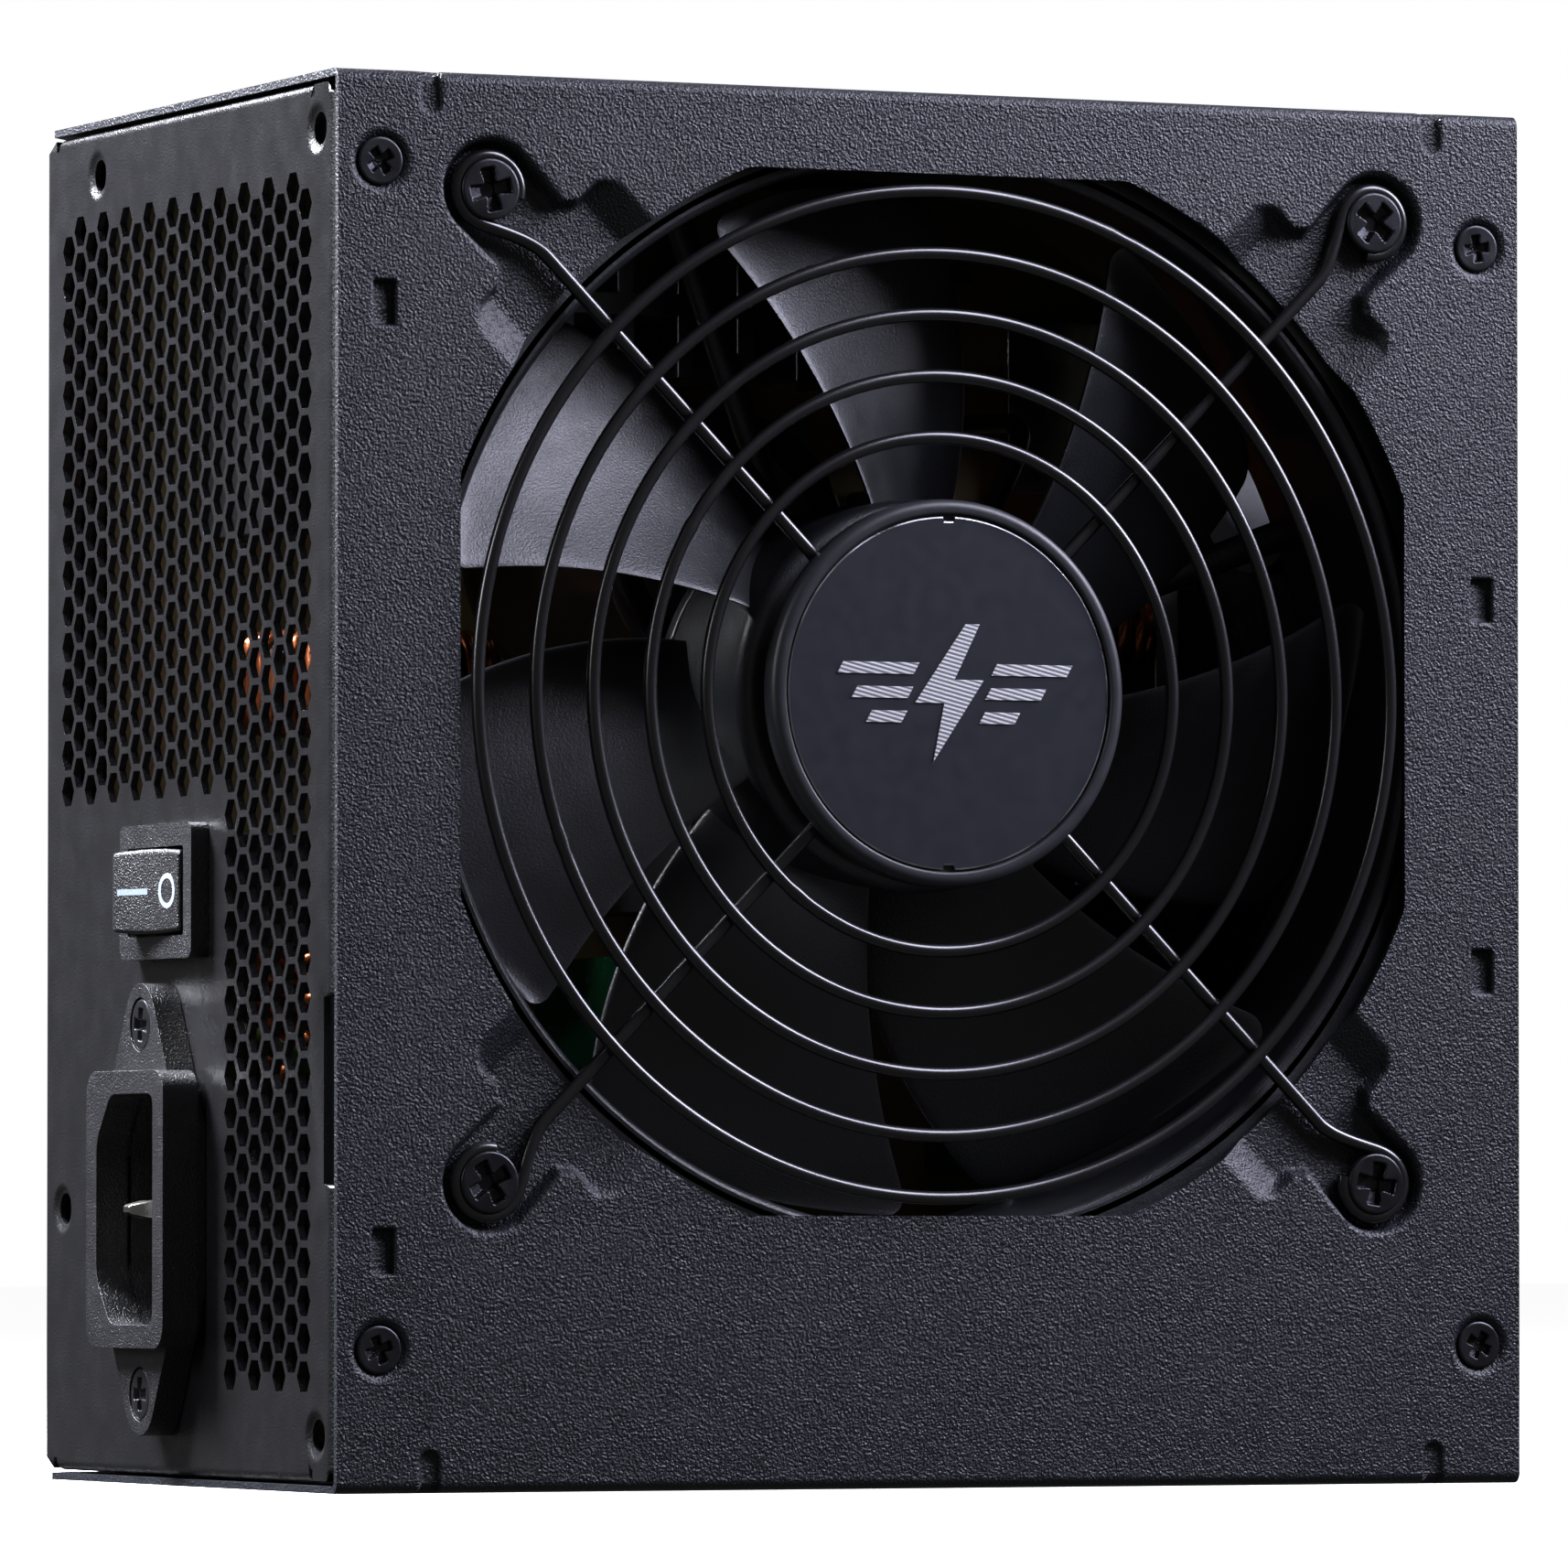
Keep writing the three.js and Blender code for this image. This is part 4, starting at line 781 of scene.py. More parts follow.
# Black ABS, moulded with a fine even satin: it picks up a soft grey band round the rim.
satin_abs = grain(finish("satin_abs", "#2a2b2f", 0.42), 0.16, 0.008, ("#28292d", "#2d2e32"), (0.39, 0.46))
piece("moulded_cap", *turned(cap_profile, 160, fan_axis), satin_abs, "black_plastic",
      nodes=["guard_centre_cap"], sharp=50, merge=True)

DISC_RADIUS, DISC_FRONT = box_of("centre_badge_disc")[1][0], box_of("centre_badge_disc")[0][1]
DISC_NOTCH = {"half": 0.65, "wall": 0.14, "deep": 0.5, "reach": 1.2}


def notched(angle):
    """Radius of the badge disc: round, with a notch 1.2 mm wide and 0.5 mm deep at the top and the bottom."""
    off = np.abs(np.abs(np.sin(angle)) - 1) ** 0.5 * DISC_RADIUS * math.sqrt(2)
    inside = smooth(0.5 - (off - DISC_NOTCH["half"]) / DISC_NOTCH["wall"]) * (off < DISC_NOTCH["reach"])
    return DISC_RADIUS - DISC_NOTCH["deep"] * inside


notch_turns = [top + np.linspace(-0.05, 0.05, 41) for top in (math.pi / 2, 3 * math.pi / 2)]
around = np.unique(np.concatenate([np.linspace(0, 2 * math.pi, 180, endpoint=False), *notch_turns]))


def around_disc(profile, closed=False):
    """Carries a profile of (share of the notched radius, inset, depth) points round the disc."""
    radius = notched(around)
    rows = [stacked((radius * share - inset) * np.cos(around), depth,
                    (radius * share - inset) * np.sin(around)) for share, inset, depth in profile]
    points = np.concatenate(rows) + np.array(fan_axis)
    return points, grid_faces(len(profile), len(around), closed, True)


# Screen-printed ink on aluminium: a deep navy black with a smooth satin face.
badge_ink = grain(finish("printed_badge_ink", "#1f222b", 0.42), 0.12, 0.004, ("#1d2029", "#21242d"),
                  (0.4, 0.46))
face = [(0, 0, DISC_FRONT), (0.5, 0, DISC_FRONT), (1, 0.14, DISC_FRONT), (1, 0.14, DISC_FRONT + 0.3),
        (0, 0, DISC_FRONT + 0.3)]
piece("badge_face", *around_disc(face), badge_ink, "badge_metal", nodes=["centre_badge_disc"],
      sharp=40, merge=True)

# Bare aluminium where the disc was cut: a thin bright line that comes and goes.
cut_edge = grain(finish("guillotined_aluminium", "#c3c4c6", 0.3, 1.0), 0.3, 0.03, ("#6d6e70", "#e4e5e7"),
                 (0.2, 0.5))
edge = [(1, 0.15, DISC_FRONT - 0.02), (1, 0.0, DISC_FRONT + 0.03), (1, 0.0, DISC_FRONT + 0.34),
        (1, 0.15, DISC_FRONT + 0.34)]
piece("badge_cut_edge", *around_disc(edge, closed=True), cut_edge, "badge_metal", sharp=40, merge=True)


def slab(outline, holes, near, far, axis="y"):
    """A flat shape given thickness along an axis. The near face looks towards the negative end of X or Y,
    and towards the positive end of Z."""
    flat, faces = blank(outline, holes, (), [np.zeros((0, 2))])
    if axis == "y":
        return thicken(stacked(flat[:, 0], near, flat[:, 1]), faces, far - near)
    if axis == "x":
        return thicken(stacked(near, flat[:, 0], flat[:, 1]), faces[:, ::-1], far - near)
    return thicken(stacked(flat[:, 0], flat[:, 1], near), faces, near - far)


EMBLEM = {"scale": 1.2, "slant": 0.55, "half_bar": 0.62, "pitch": 2.6, "gap": 4.6, "bars": (9.0, 6.6, 4.2)}


def emblem():
    """A plain lightning bolt between two sets of three speed bars, each bar with slanted ends."""
    bolt = [(1.6, 6.2), (-3.4, -0.9), (-0.5, -0.9), (-1.6, -6.2), (3.4, 1.2), (0.5, 1.2), (3.0, 6.2)]
    shapes = [EMBLEM["scale"] * np.array(bolt)]
    half, slant = EMBLEM["half_bar"], EMBLEM["slant"]
    for side in (-1, 1):
        for k, length in enumerate(EMBLEM["bars"]):
            level = EMBLEM["pitch"] * (1 - k)
            near = side * EMBLEM["gap"] + slant * level * 0.5
            x0, x1 = sorted((near, near + side * length))
            shapes.append(np.array([(x0 - slant * half, level - half), (x1 - slant * half, level - half),
                                    (x1 + slant * half, level + half), (x0 + slant * half, level + half)]))
    return joined([slab(shape + np.array([0, FAN_Z]), [], DISC_FRONT - 0.12, DISC_FRONT + 0.05)
                   for shape in shapes])


# Hot-stamped silver foil, ruled with fine slanting lines 0.45 mm apart. A wave's bands lie 2 pi / 20 apart
# at a scale of 1.
RULE = {"pitch": 0.45, "angle": 76, "depth": 0.03, "band": math.pi / 10}
silver_foil = finish("ruled_silver_foil", "#d8d8dc", 0.45, 0.25)
foil_tree = silver_foil.node_tree
foil_shader = foil_tree.nodes["Principled BSDF"]
foil_coords = node(foil_tree, "TexCoord")
foil_turn = node(foil_tree, "Mapping", {"Vector": foil_coords.outputs["Object"],
                                        "Rotation": (0, math.radians(RULE["angle"]), 0)})
foil_rules = node(foil_tree, "TexWave", {"Vector": foil_turn.outputs["Vector"],
                                         "Scale": RULE["band"] / (RULE["pitch"] * MM)})
foil_tint = node(foil_tree, "MixRGB", {"Fac": foil_rules.outputs["Fac"], "Color1": linear("#85868b"),
                                       "Color2": linear("#f2f2f4")})
foil_bump = node(foil_tree, "Bump", {"Height": foil_rules.outputs["Fac"], "Distance": RULE["depth"] * MM})
foil_tree.links.new(foil_tint.outputs["Color"], foil_shader.inputs["Base Color"])
foil_tree.links.new(foil_bump.outputs["Normal"], foil_shader.inputs["Normal"])
piece("badge_emblem", *emblem(), silver_foil, "badge_metal", bevel=0.03, sharp=40)

# ---------------------------------------------------------------- fan
# A 120 mm axial fan. Frame and rotor are moulded in black PBT from spark-eroded tools, which gives a fine
# matt grain. Seven cambered blades with rounded tips sweep round a hub; four struts hold the motor behind.

frame_low, frame_high = box_of("fan_frame")
FRAME_FRONT, FRAME_BACK, FRAME_HALF = frame_low[1], frame_high[1], frame_high[0]
DUCT = 57.5
FLANGE = 3.75
MOTOR_BASE = 21.3
STRUTS = np.radians([20, 110, 200, 290])
STRUT = {"half_wide": 1.7, "half_deep": 1.12, "inset": 1.17}

# Glass-filled PBT, matt from the tool: broad grey highlights broken up by a 0.25 mm grain.
eroded_pbt = grain(finish("spark_eroded_pbt", "#1e1f22", 0.36, **{"Specular IOR Level": 0.85}), 0.25, 0.05,
                   ("#1c1d20", "#212226"), (0.33, 0.4), detail=2.0)


def fan_frame():
    """Two square flanges, a duct whose front edge is rounded, four struts of lens section and a motor cup."""
    screw_bores = [circle((x, z), 2.2, 32) for x, z in fan_screws]
    square = rounded_rectangle((0, FAN_Z), 2 * FRAME_HALF, 2 * FRAME_HALF, 6, 10)
    bore = circle((0, FAN_Z), DUCT + 0.6, 160)
    parts = [slab(square, [bore, *screw_bores], FRAME_FRONT, FRAME_FRONT + FLANGE),
             slab(square, [bore, *screw_bores], FRAME_BACK - FLANGE, FRAME_BACK)]
    outer = FRAME_HALF - 0.4
    duct = [*arc((DUCT + 1.2, FRAME_FRONT + 1.2), 1.2, 180, 270, 6), (outer, FRAME_FRONT),
            (outer, FRAME_BACK), (DUCT, FRAME_BACK)]
    parts.append(turned(duct, 180, fan_axis, closed=True))
    cup_top = FRAME_BACK - 2.3
    cup = [(0, cup_top), (MOTOR_BASE - 0.6, cup_top),
           *arc((MOTOR_BASE - 0.6, cup_top + 0.6), 0.6, 270, 360, 4), (MOTOR_BASE, FRAME_BACK),
           (0, FRAME_BACK)]
    parts.append(turned(cup, 96, fan_axis))
    r = spread(MOTOR_BASE - 3, DUCT + 1, 2.0)[:, None]
    b = np.linspace(0, 2 * math.pi, 20, endpoint=False)
    across = STRUT["half_wide"] * np.cos(b)
    deep = STRUT["half_deep"] * np.sin(b) + FRAME_BACK - STRUT["inset"]
    for a in STRUTS:
        strut = stacked(r * math.cos(a) - across * math.sin(a), deep, r * math.sin(a) + across * math.cos(a))
        parts.append((strut.reshape(-1, 3) + np.array(fan_axis), grid_faces(len(r), 20, closed_columns=True)))
    return joined(parts)


piece("moulded_fan_frame", *fan_frame(), eroded_pbt, "black_plastic", nodes=["fan_frame"],
      bevel=0.25, sharp=50)

HUB = {"radius": 21.3, "top": FAN_Y + 5, "bottom": FRAME_BACK - 2.9, "wall": 1.6, "round": 1.8, "crown": 2}
BLADE = {"count": 7, "tip": 56.0, "root": 20.4, "thick": 1.5, "root_thick": 1.25, "camber": 1.6,
         "corner": 3.0}
EDGE = {"lead_y": FAN_Y + 8, "lead": 102.3, "lead_sweep": 0.38,
        "trail_y": FAN_Y + 22, "trail": 62, "trail_sweep": 0.6, "trail_from": 24.9}


def fan_blade(index):
    """A closed skin: rows go out along the radius r, columns go round the section. The chord runs from the
    leading angle, lead + lead_sweep (r - root), to the trailing angle, trail + trail_sweep (r - 24.9),
    both in degrees. Camber is a half sine, thickness a flattened ellipse that is a quarter thicker at the
    root, and the chord draws in at the tip by a quarter circle."""
    out = np.linspace(0, 1, 22) ** 0.85 * 0.93
    rounded = 0.93 + 0.07 * np.sin(np.linspace(0.1, 1, 9) * math.pi / 2)
    grow = np.concatenate([[0], out, rounded, [1]])
    radius = (BLADE["root"] + (BLADE["tip"] - BLADE["root"]) * grow)[:, None]
    phase = np.linspace(0, 2 * math.pi, 56, endpoint=False)[None]
    chord = (1 - np.cos(phase)) / 2
    side = np.sign(np.sin(phase)) * np.abs(np.sin(phase)) ** 0.45
    over = np.clip((radius - BLADE["tip"] + BLADE["corner"]) / BLADE["corner"], 0, 1)
    drawn = np.degrees(BLADE["corner"] * (1 - np.sqrt(1 - over ** 2)) / radius)
    lead = EDGE["lead"] + EDGE["lead_sweep"] * (radius - BLADE["root"]) - drawn
    trail = EDGE["trail"] + EDGE["trail_sweep"] * (radius - EDGE["trail_from"]) + drawn
    angle = np.radians(lead + (trail - lead) * chord + 360 / BLADE["count"] * index)
    thinned = (BLADE["root_thick"] - 1) * np.clip((radius - BLADE["root"]) / 12, 0, 1)
    thick = BLADE["thick"] * (BLADE["root_thick"] - thinned)
    thick[0] = thick[-1] = 0
    y = EDGE["lead_y"] + (EDGE["trail_y"] - EDGE["lead_y"]) * chord
    y = y + BLADE["camber"] * np.sin(math.pi * chord)
    grid = stacked(radius * np.cos(angle), y + side * thick / 2, radius * np.sin(angle))
    return grid.reshape(-1, 3) + np.array(fan_axis), grid_faces(len(grow), 56, closed_columns=True)[:, ::-1]


hub = [(0, HUB["top"]),
       *arc((HUB["radius"] - HUB["round"], HUB["top"] + HUB["round"]), HUB["round"], 270, 360, 8),
       (HUB["radius"], HUB["bottom"]), (HUB["radius"] - HUB["wall"], HUB["bottom"]),
       (HUB["radius"] - HUB["wall"], HUB["top"] + HUB["crown"]), (0, HUB["top"] + HUB["crown"])]
parts = [turned(hub, 144, fan_axis), *[fan_blade(i) for i in range(BLADE["count"])]]
piece("swept_fan_rotor", *joined(parts), eroded_pbt, "black_plastic", body="fan_rotor", nodes=["fan_rotor"],
      sharp=45, merge=True)

# ---------------------------------------------------------------- mains inlet
# A C14 appliance inlet moulded in black nylon with a coarse spark-eroded face: a diamond flange for two
# screws, a shroud with a keyed hollow, and three tinned brass pins with coined tips.

SHROUD_X = box_of("mains_inlet_housing")[0][0]
INLET_PITCH = 40
INLET_FLANGE = {"thick": 3.3, "end": 4.5, "waist": 9.0}
SHROUD = {"width": 22.7, "height": 30, "corner": 2.6}
HOLLOW = {"width": 16.6, "height": 25.0, "depth": 17, "cut_y": 4.1, "cut_z": 5.1, "corner": 1.5}


def rounded_outline(corners, radius, steps=5):
    """A polygon whose corners are eased by short curves: (1-t)^2 a + 2 t (1-t) corner + t^2 b."""
    corners = np.asarray(corners, float)
    t = np.linspace(0, 1, steps + 1)[:, None]
    loop = []
    for before, corner, after in zip(np.roll(corners, 1, axis=0), corners, np.roll(corners, -1, axis=0)):
        a = corner + (before - corner) / np.linalg.norm(before - corner) * radius
        b = corner + (after - corner) / np.linalg.norm(after - corner) * radius
        loop.append((1 - t) ** 2 * a + 2 * t * (1 - t) * corner + t ** 2 * b)
    return np.concatenate(loop)


def inlet_flange():
    """A diamond: two round ends about the screws, joined by straight flanks to the shroud's width."""
    right = arc((0, INLET_PITCH / 2), INLET_FLANGE["end"], 22, 158, 14)
    half = SHROUD["width"] / 2 - 0.2
    loop = [*right, (-half, INLET_FLANGE["waist"]), (-half, -INLET_FLANGE["waist"]),
            *[(-y, -z) for y, z in right], (half, -INLET_FLANGE["waist"]), (half, INLET_FLANGE["waist"])]
    return np.array(loop) + inlet


def inlet_hollow(grow=0.0):
    """The hollow's outline: a rectangle with two corners cut off on the base side."""
    w, h = HOLLOW["width"] / 2 + grow, HOLLOW["height"] / 2 + grow
    corners = [(-w, -h), (w - HOLLOW["cut_y"], -h), (w, HOLLOW["cut_z"] - h), (w, h - HOLLOW["cut_z"]),
               (w - HOLLOW["cut_y"], h), (-w, h)]
    return rounded_outline(np.array(corners) + inlet, HOLLOW["corner"])


PIN_NAMES = ("earth", "line", "neutral")
BODY = {"width": 19.4, "height": 27.8, "corner": 2.7, "floor": 3.0}
shroud_outline = rounded_rectangle(inlet, SHROUD["width"], SHROUD["height"], SHROUD["corner"], 8)
body_outline = rounded_rectangle(inlet, BODY["width"], BODY["height"], BODY["corner"])
screw_seats = [circle((inlet[0], inlet[1] + s * INLET_PITCH / 2), 2.95, 48) for s in (1, -1)]
floor_x = SHROUD_X + HOLLOW["depth"]
pin_places = {name: middle_of(f"inlet_pin_{name}")[[1, 2]] for name in PIN_NAMES}
pin_slots = [rounded_rectangle(place, 4.3, 2.3, 0.3) for place in pin_places.values()]
parts = [slab(shroud_outline, [inlet_hollow()], SHROUD_X, REAR_X - 1.0, "x"),
         slab(inlet_flange(), [inlet_hollow(1.0), *screw_seats], REAR_X - INLET_FLANGE["thick"],
              REAR_X - 0.05, "x"),
         slab(body_outline, [inlet_hollow()], REAR_X - 1.5, floor_x + 0.5, "x"),
         slab(body_outline, pin_slots, floor_x, floor_x + BODY["floor"], "x")]

# Glass-filled nylon from a coarse spark-eroded tool: black, sparkling, with a 0.2 mm grain.
eroded_nylon = grain(finish("spark_eroded_nylon", "#1b1b1d", 0.34), 0.2, 0.15, ("#18181a", "#202022"),
                     (0.3, 0.38), detail=3.0, cells=0.5)
piece("moulded_inlet", *joined(parts), eroded_nylon, "black_plastic", nodes=["mains_inlet_housing"],
      bevel=0.4, sharp=50)

# Tinned brass pins: bright, soft-edged metal.
tinned_brass = grain(finish("tinned_brass", "#c8c6bf", 0.25, 1.0), 0.4, 0.01, ("#b9b6ad", "#d6d5d0"),
                     (0.2, 0.32))


def loft(middle, stations):
    """Rounded rectangles of changing half widths (a, b) at stations along X, closed at both ends."""
    rows = []
    for x, a, b in stations:
        loop = rounded_rectangle((0, 0), 2 * max(a, 1e-4), 2 * max(b, 1e-4), min(a, b) * 0.35, 4)
        rows.append(stacked(x, *(loop + middle).T))
    return np.concatenate(rows), grid_faces(len(rows), len(rows[0]), closed_columns=True)


for name in PIN_NAMES:
    pin_low, pin_high = box_of(f"inlet_pin_{name}")
    tip, half_y, half_z = pin_low[0], 2.0, 1.0
    stations = [(tip, 0, 0), (tip, 0.8, 0.3), (tip + 0.25, 1.05, 0.5),
                (tip + 2.2, half_y - 0.1, half_z - 0.06), (tip + 3.2, half_y, half_z),
                (pin_high[0], half_y, half_z), (pin_high[0], 0, 0)]
    piece(f"coined_pin_{name}", *loft(pin_places[name], stations), tinned_brass, "tinned_metal",
          nodes=[f"inlet_pin_{name}"], sharp=40, merge=True)

# ---------------------------------------------------------------- mains switch
# A snap-in rocker switch in the same grained nylon. The rocker is slightly hollow on top, tips about a pin
# inside the housing, and carries a pad-printed bar and ring.

switch_low, switch_high = box_of("switch_housing")
BEZEL = {"width": 21.0, "height": 14.6, "corner": 1.1}
ROCKER = {"half": 7.0, "rise": 4.75, "width": 9.2, "tilt": math.radians(10), "pivot": REAR_X + 1,
          "hollow": 0.6, "draft": 0.06}
SWITCH_BODY = {"width": 18.6, "height": 12.4, "corner": 0.4, "floor": REAR_X + 12, "end": REAR_X + 16.5}
window = rounded_rectangle(switch, 2 * ROCKER["half"] + 2.4, ROCKER["width"] + 0.5, 0.4)
bezel_outline = rounded_rectangle(switch, BEZEL["width"], BEZEL["height"], BEZEL["corner"], 8)
body_outline = rounded_rectangle(switch, SWITCH_BODY["width"], SWITCH_BODY["height"], SWITCH_BODY["corner"])
parts = [slab(bezel_outline, [window], switch_low[0], REAR_X - 0.05, "x"),
         slab(body_outline, [window], REAR_X - 1, SWITCH_BODY["floor"] + 0.5, "x"),
         slab(body_outline, [], SWITCH_BODY["floor"], SWITCH_BODY["end"], "x")]
parts += [slab(rounded_rectangle((switch[0] + y, switch[1]), 0.8, 4.8, 0.2), [], REAR_X + 16,
               switch_high[0], "x") for y in (-5, 0, 5)]
piece("moulded_switch_body", *joined(parts), eroded_nylon, "switch_plastic", nodes=["switch_housing"],
      bevel=0.4, sharp=50)


def rocker_top(u):
    """Height of the rocker's face above its pivot along it: rise - hollow (1 - (u / half) ^ 2)."""
    return ROCKER["rise"] - ROCKER["hollow"] * (1 - (u / ROCKER["half"]) ** 2)


def tipped(u, v, w):
    """Places rocker points: along (u), outwards (v) and across (w), turned by the tilt about the pivot."""
    c, s = math.cos(ROCKER["tilt"]), math.sin(ROCKER["tilt"])
    return stacked(ROCKER["pivot"] - (v * c + u * s), switch[0] + u * c - v * s, switch[1] + w)


half = ROCKER["half"]
along = np.linspace(-half, half, 25)
section = [*zip(along, rocker_top(along)), (half - 0.5, 1.5), (half - 2.6, -1.6), (1.2, -4.2), (-1.2, -4.2),
           (2.6 - half, -1.6), (0.5 - half, 1.5)]
flat, faces = blank(np.array(section)[::-1], [], (), [np.zeros((0, 2))])
skin, faces = thicken(stacked(flat[:, 0], flat[:, 1], ROCKER["width"] / 2), faces, ROCKER["width"])
narrowed = skin[:, 2] * (1 - ROCKER["draft"] * (skin[:, 0] / half) ** 2)
piece("grained_rocker", tipped(skin[:, 0], skin[:, 1], narrowed), faces, eroded_nylon, "switch_plastic",
      body="switch_rocker", nodes=["switch_rocker"], bevel=0.6, sharp=40)

PRINT = {"lift": 0.03, "thick": 0.08, "bar": (0.35, 5.9), "half_bar": 0.33,
         "ring": (1.42, 2.0), "ring_at": -4.0, "squash": 0.95}


def printed(u, w, closed):
    """A print laid on the rocker's face: a grid of (along, across) places lifted by the ink's thickness,
    its faces split in two and turned outwards."""
    sheet = tipped(u.ravel(), rocker_top(u.ravel()) + PRINT["lift"], w.ravel())
    quads = grid_faces(*u.shape, closed_rows=closed)
    halves = np.concatenate([quads[:, [0, 1, 2]], quads[:, [0, 2, 3]]])
    a, b, c = sheet[halves[0]]
    if np.cross(b - a, c - a)[0] > 0:
        halves = halves[:, ::-1]
    return thicken(sheet, halves, PRINT["thick"])


# White pad-printing ink, a little blue where it lies thin over the grain.
pad_print = grain(finish("white_pad_print", "#8f9ba8", 0.5), 0.3, 0.02, ("#84919f", "#9aa5b1"), (0.45, 0.55))
bar_u, bar_w = np.meshgrid(np.linspace(*PRINT["bar"], 16), [-PRINT["half_bar"], PRINT["half_bar"]],
                           indexing="ij")
turn, ring_r = np.meshgrid(np.linspace(0, 2 * math.pi, 48, endpoint=False), PRINT["ring"], indexing="ij")
ring_u, ring_w = PRINT["ring_at"] + ring_r * np.cos(turn), ring_r * np.sin(turn) * PRINT["squash"]
marks = [printed(bar_u, bar_w, False), printed(ring_u, ring_w, True)]
piece("rocker_marks", *joined(marks), pad_print, "switch_plastic", body="switch_rocker", sharp=40)

# ---------------------------------------------------------------- cable bush
# A soft rubber bush lines the round hole in the cable end, where the output leads would pass. It is moulded
# in one piece with a groove that snaps over the sheet's edge.

BUSH = {"bore": 11.0, "groove": 13.25, "lip": 16.5, "inside": FRONT_X - SHEET - 3, "gap": 0.05,
        "outside": box_of("cable_outlet_bush")[1][0]}
bush = [(BUSH["bore"], BUSH["inside"] + 0.8),
        *arc((BUSH["bore"] + 0.8, BUSH["inside"] + 0.8), 0.8, 180, 270, 4),
        (BUSH["lip"] - 1, BUSH["inside"]), (BUSH["lip"] - 1, FRONT_X - SHEET - BUSH["gap"]),
        (BUSH["groove"], FRONT_X - SHEET - BUSH["gap"]), (BUSH["groove"], FRONT_X + BUSH["gap"]),
        (BUSH["lip"], FRONT_X + BUSH["gap"]),
        *arc((BUSH["lip"] - 1.0, BUSH["outside"] - 1.0), 1.0, 0, 90, 5),
        *arc((BUSH["bore"] + 1.0, BUSH["outside"] - 1.0), 1.0, 90, 180, 5)]

# Matt black rubber with a bloom: soft and dull, greyer in places.
soft_rubber = grain(finish("soft_rubber", "#17171a", 0.65), 0.6, 0.03, ("#141416", "#1f1f22"), (0.58, 0.75))
piece("lipped_bush", *turned(bush, 96, (0, *outlet), "x", closed=True), soft_rubber, "rubber",
      nodes=["cable_outlet_bush"], sharp=50, merge=True)

# ---------------------------------------------------------------- fan motor
# Behind the hub: a ferrite magnet ring on the rotor, a ground steel shaft in a sintered sleeve, and the
# stator's enamelled windings. They are sealed in, so the plain turned solids only need the right finish.


def dress(name, look):
    """Gives a node of the frame its material, and leaves its shape as it is."""
    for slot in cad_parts[name].material_slots:
        slot.material = look


# Sintered ferrite: dull charcoal with a fine grit.
sintered_ferrite = grain(finish("sintered_ferrite", "#35353a", 0.6), 0.3, 0.02, ("#2d2d31", "#3d3d42"),
                         (0.5, 0.7))
# Ground and turned steel: bright with faint lines round the axis.
turned_steel = grain(finish("turned_steel", "#b4b5b8", 0.28, 1.0), 0.3, 0.01, ("#9d9ea1", "#c6c7ca"),
                     (0.2, 0.35), stretch=(1, 8, 1))
# Enamelled copper wire: warm red brown under a clear glossy varnish.
enamelled_copper = grain(finish("enamelled_copper", "#a8562a", 0.3, 0.85, **{"Coat Weight": 0.5}), 0.5, 0.01,
                         ("#8e431f", "#bd6a38"), (0.24, 0.36))
dress("rotor_magnet_ring", sintered_ferrite)
dress("fan_shaft", turned_steel)
dress("fan_bearing_sleeve", turned_steel)
dress("fan_stator", enamelled_copper)

# ---------------------------------------------------------------- circuit board and insulation
# A single-sided FR-1 board, tan and waxy, screwed to four steel standoffs over a sheet of black film. Small
# parts crowd its component side between the large ones.

BOARD_Y = box_of("main_circuit_board")[0][1]

# FR-1 paper laminate: tan and slightly translucent, mottled by the resin.
tan_laminate = grain(finish("tan_paper_laminate", "#8d7c55", 0.5, **{"Subsurface Weight": 0.05}), 2.0, 0.02,
                     ("#7b6b47", "#9c8b62"), (0.42, 0.58), detail=4.0)
# Polycarbonate film: black and smooth, with a soft sheen.
black_film = grain(finish("black_polycarbonate_film", "#151517", 0.3), 1.5, 0.02, ("#131315", "#1a1a1d"),
                   (0.25, 0.4))
dress("main_circuit_board", tan_laminate)
dress("insulating_sheet", black_film)
for i in (1, 2, 3, 4):
    dress(f"board_standoff_{i}", turned_steel)


SMALL_PLACES = [(-30, 60), (-22, 50), (-30, 32), (30, 20), (40, 24), (50, 20), (26, 110), (14, 118),
                (22, 128), (34, 136), (-2, 52), (0, 66), (36, 36), (52, 36), (24, 92), (-24, 70)]
SMALL_SIZE = {"wide": (3.4, 2.2), "deep": (1.6, 1.6), "tall": (5, 6)}


def small_parts():
    """Small film capacitors and resistors standing on the board: each size is its least plus a share of
    its range, and one in two is turned, from a seeded draw."""
    draw = np.random.default_rng(7)
    parts = []
    for x, z in SMALL_PLACES:
        wide, deep, tall = [least + span * draw.random() for least, span in SMALL_SIZE.values()]
        outline = rounded_rectangle((x, z), *((wide, deep) if draw.random() < 0.5 else (deep, wide)), 0.7, 3)
        parts.append(slab(outline, [], BOARD_Y - tall, BOARD_Y - 0.02))
    return parts


# Green dipped lacquer over small film capacitors: glossy and a little uneven.
green_lacquer = grain(finish("green_dip_lacquer", "#12583a", 0.25), 1.5, 0.05, ("#0e4a30", "#186846"),
                      (0.2, 0.32))
piece("small_film_parts", *joined(small_parts()), green_lacquer, "green_coating", bevel=0.3, sharp=50)

# ---------------------------------------------------------------- capacitors
# Aluminium electrolytic cans in shrunk plastic sleeves. The sleeve ends at the can's bare top, which is
# scored with a cross. They stand soldered to the board.

CAN_NECK = 0.25
BARE = {"radius": 0.72, "front": 0.12, "back": 0.5}
SCORE = {"depth": 0.13, "width": 0.09, "reach": 0.5}


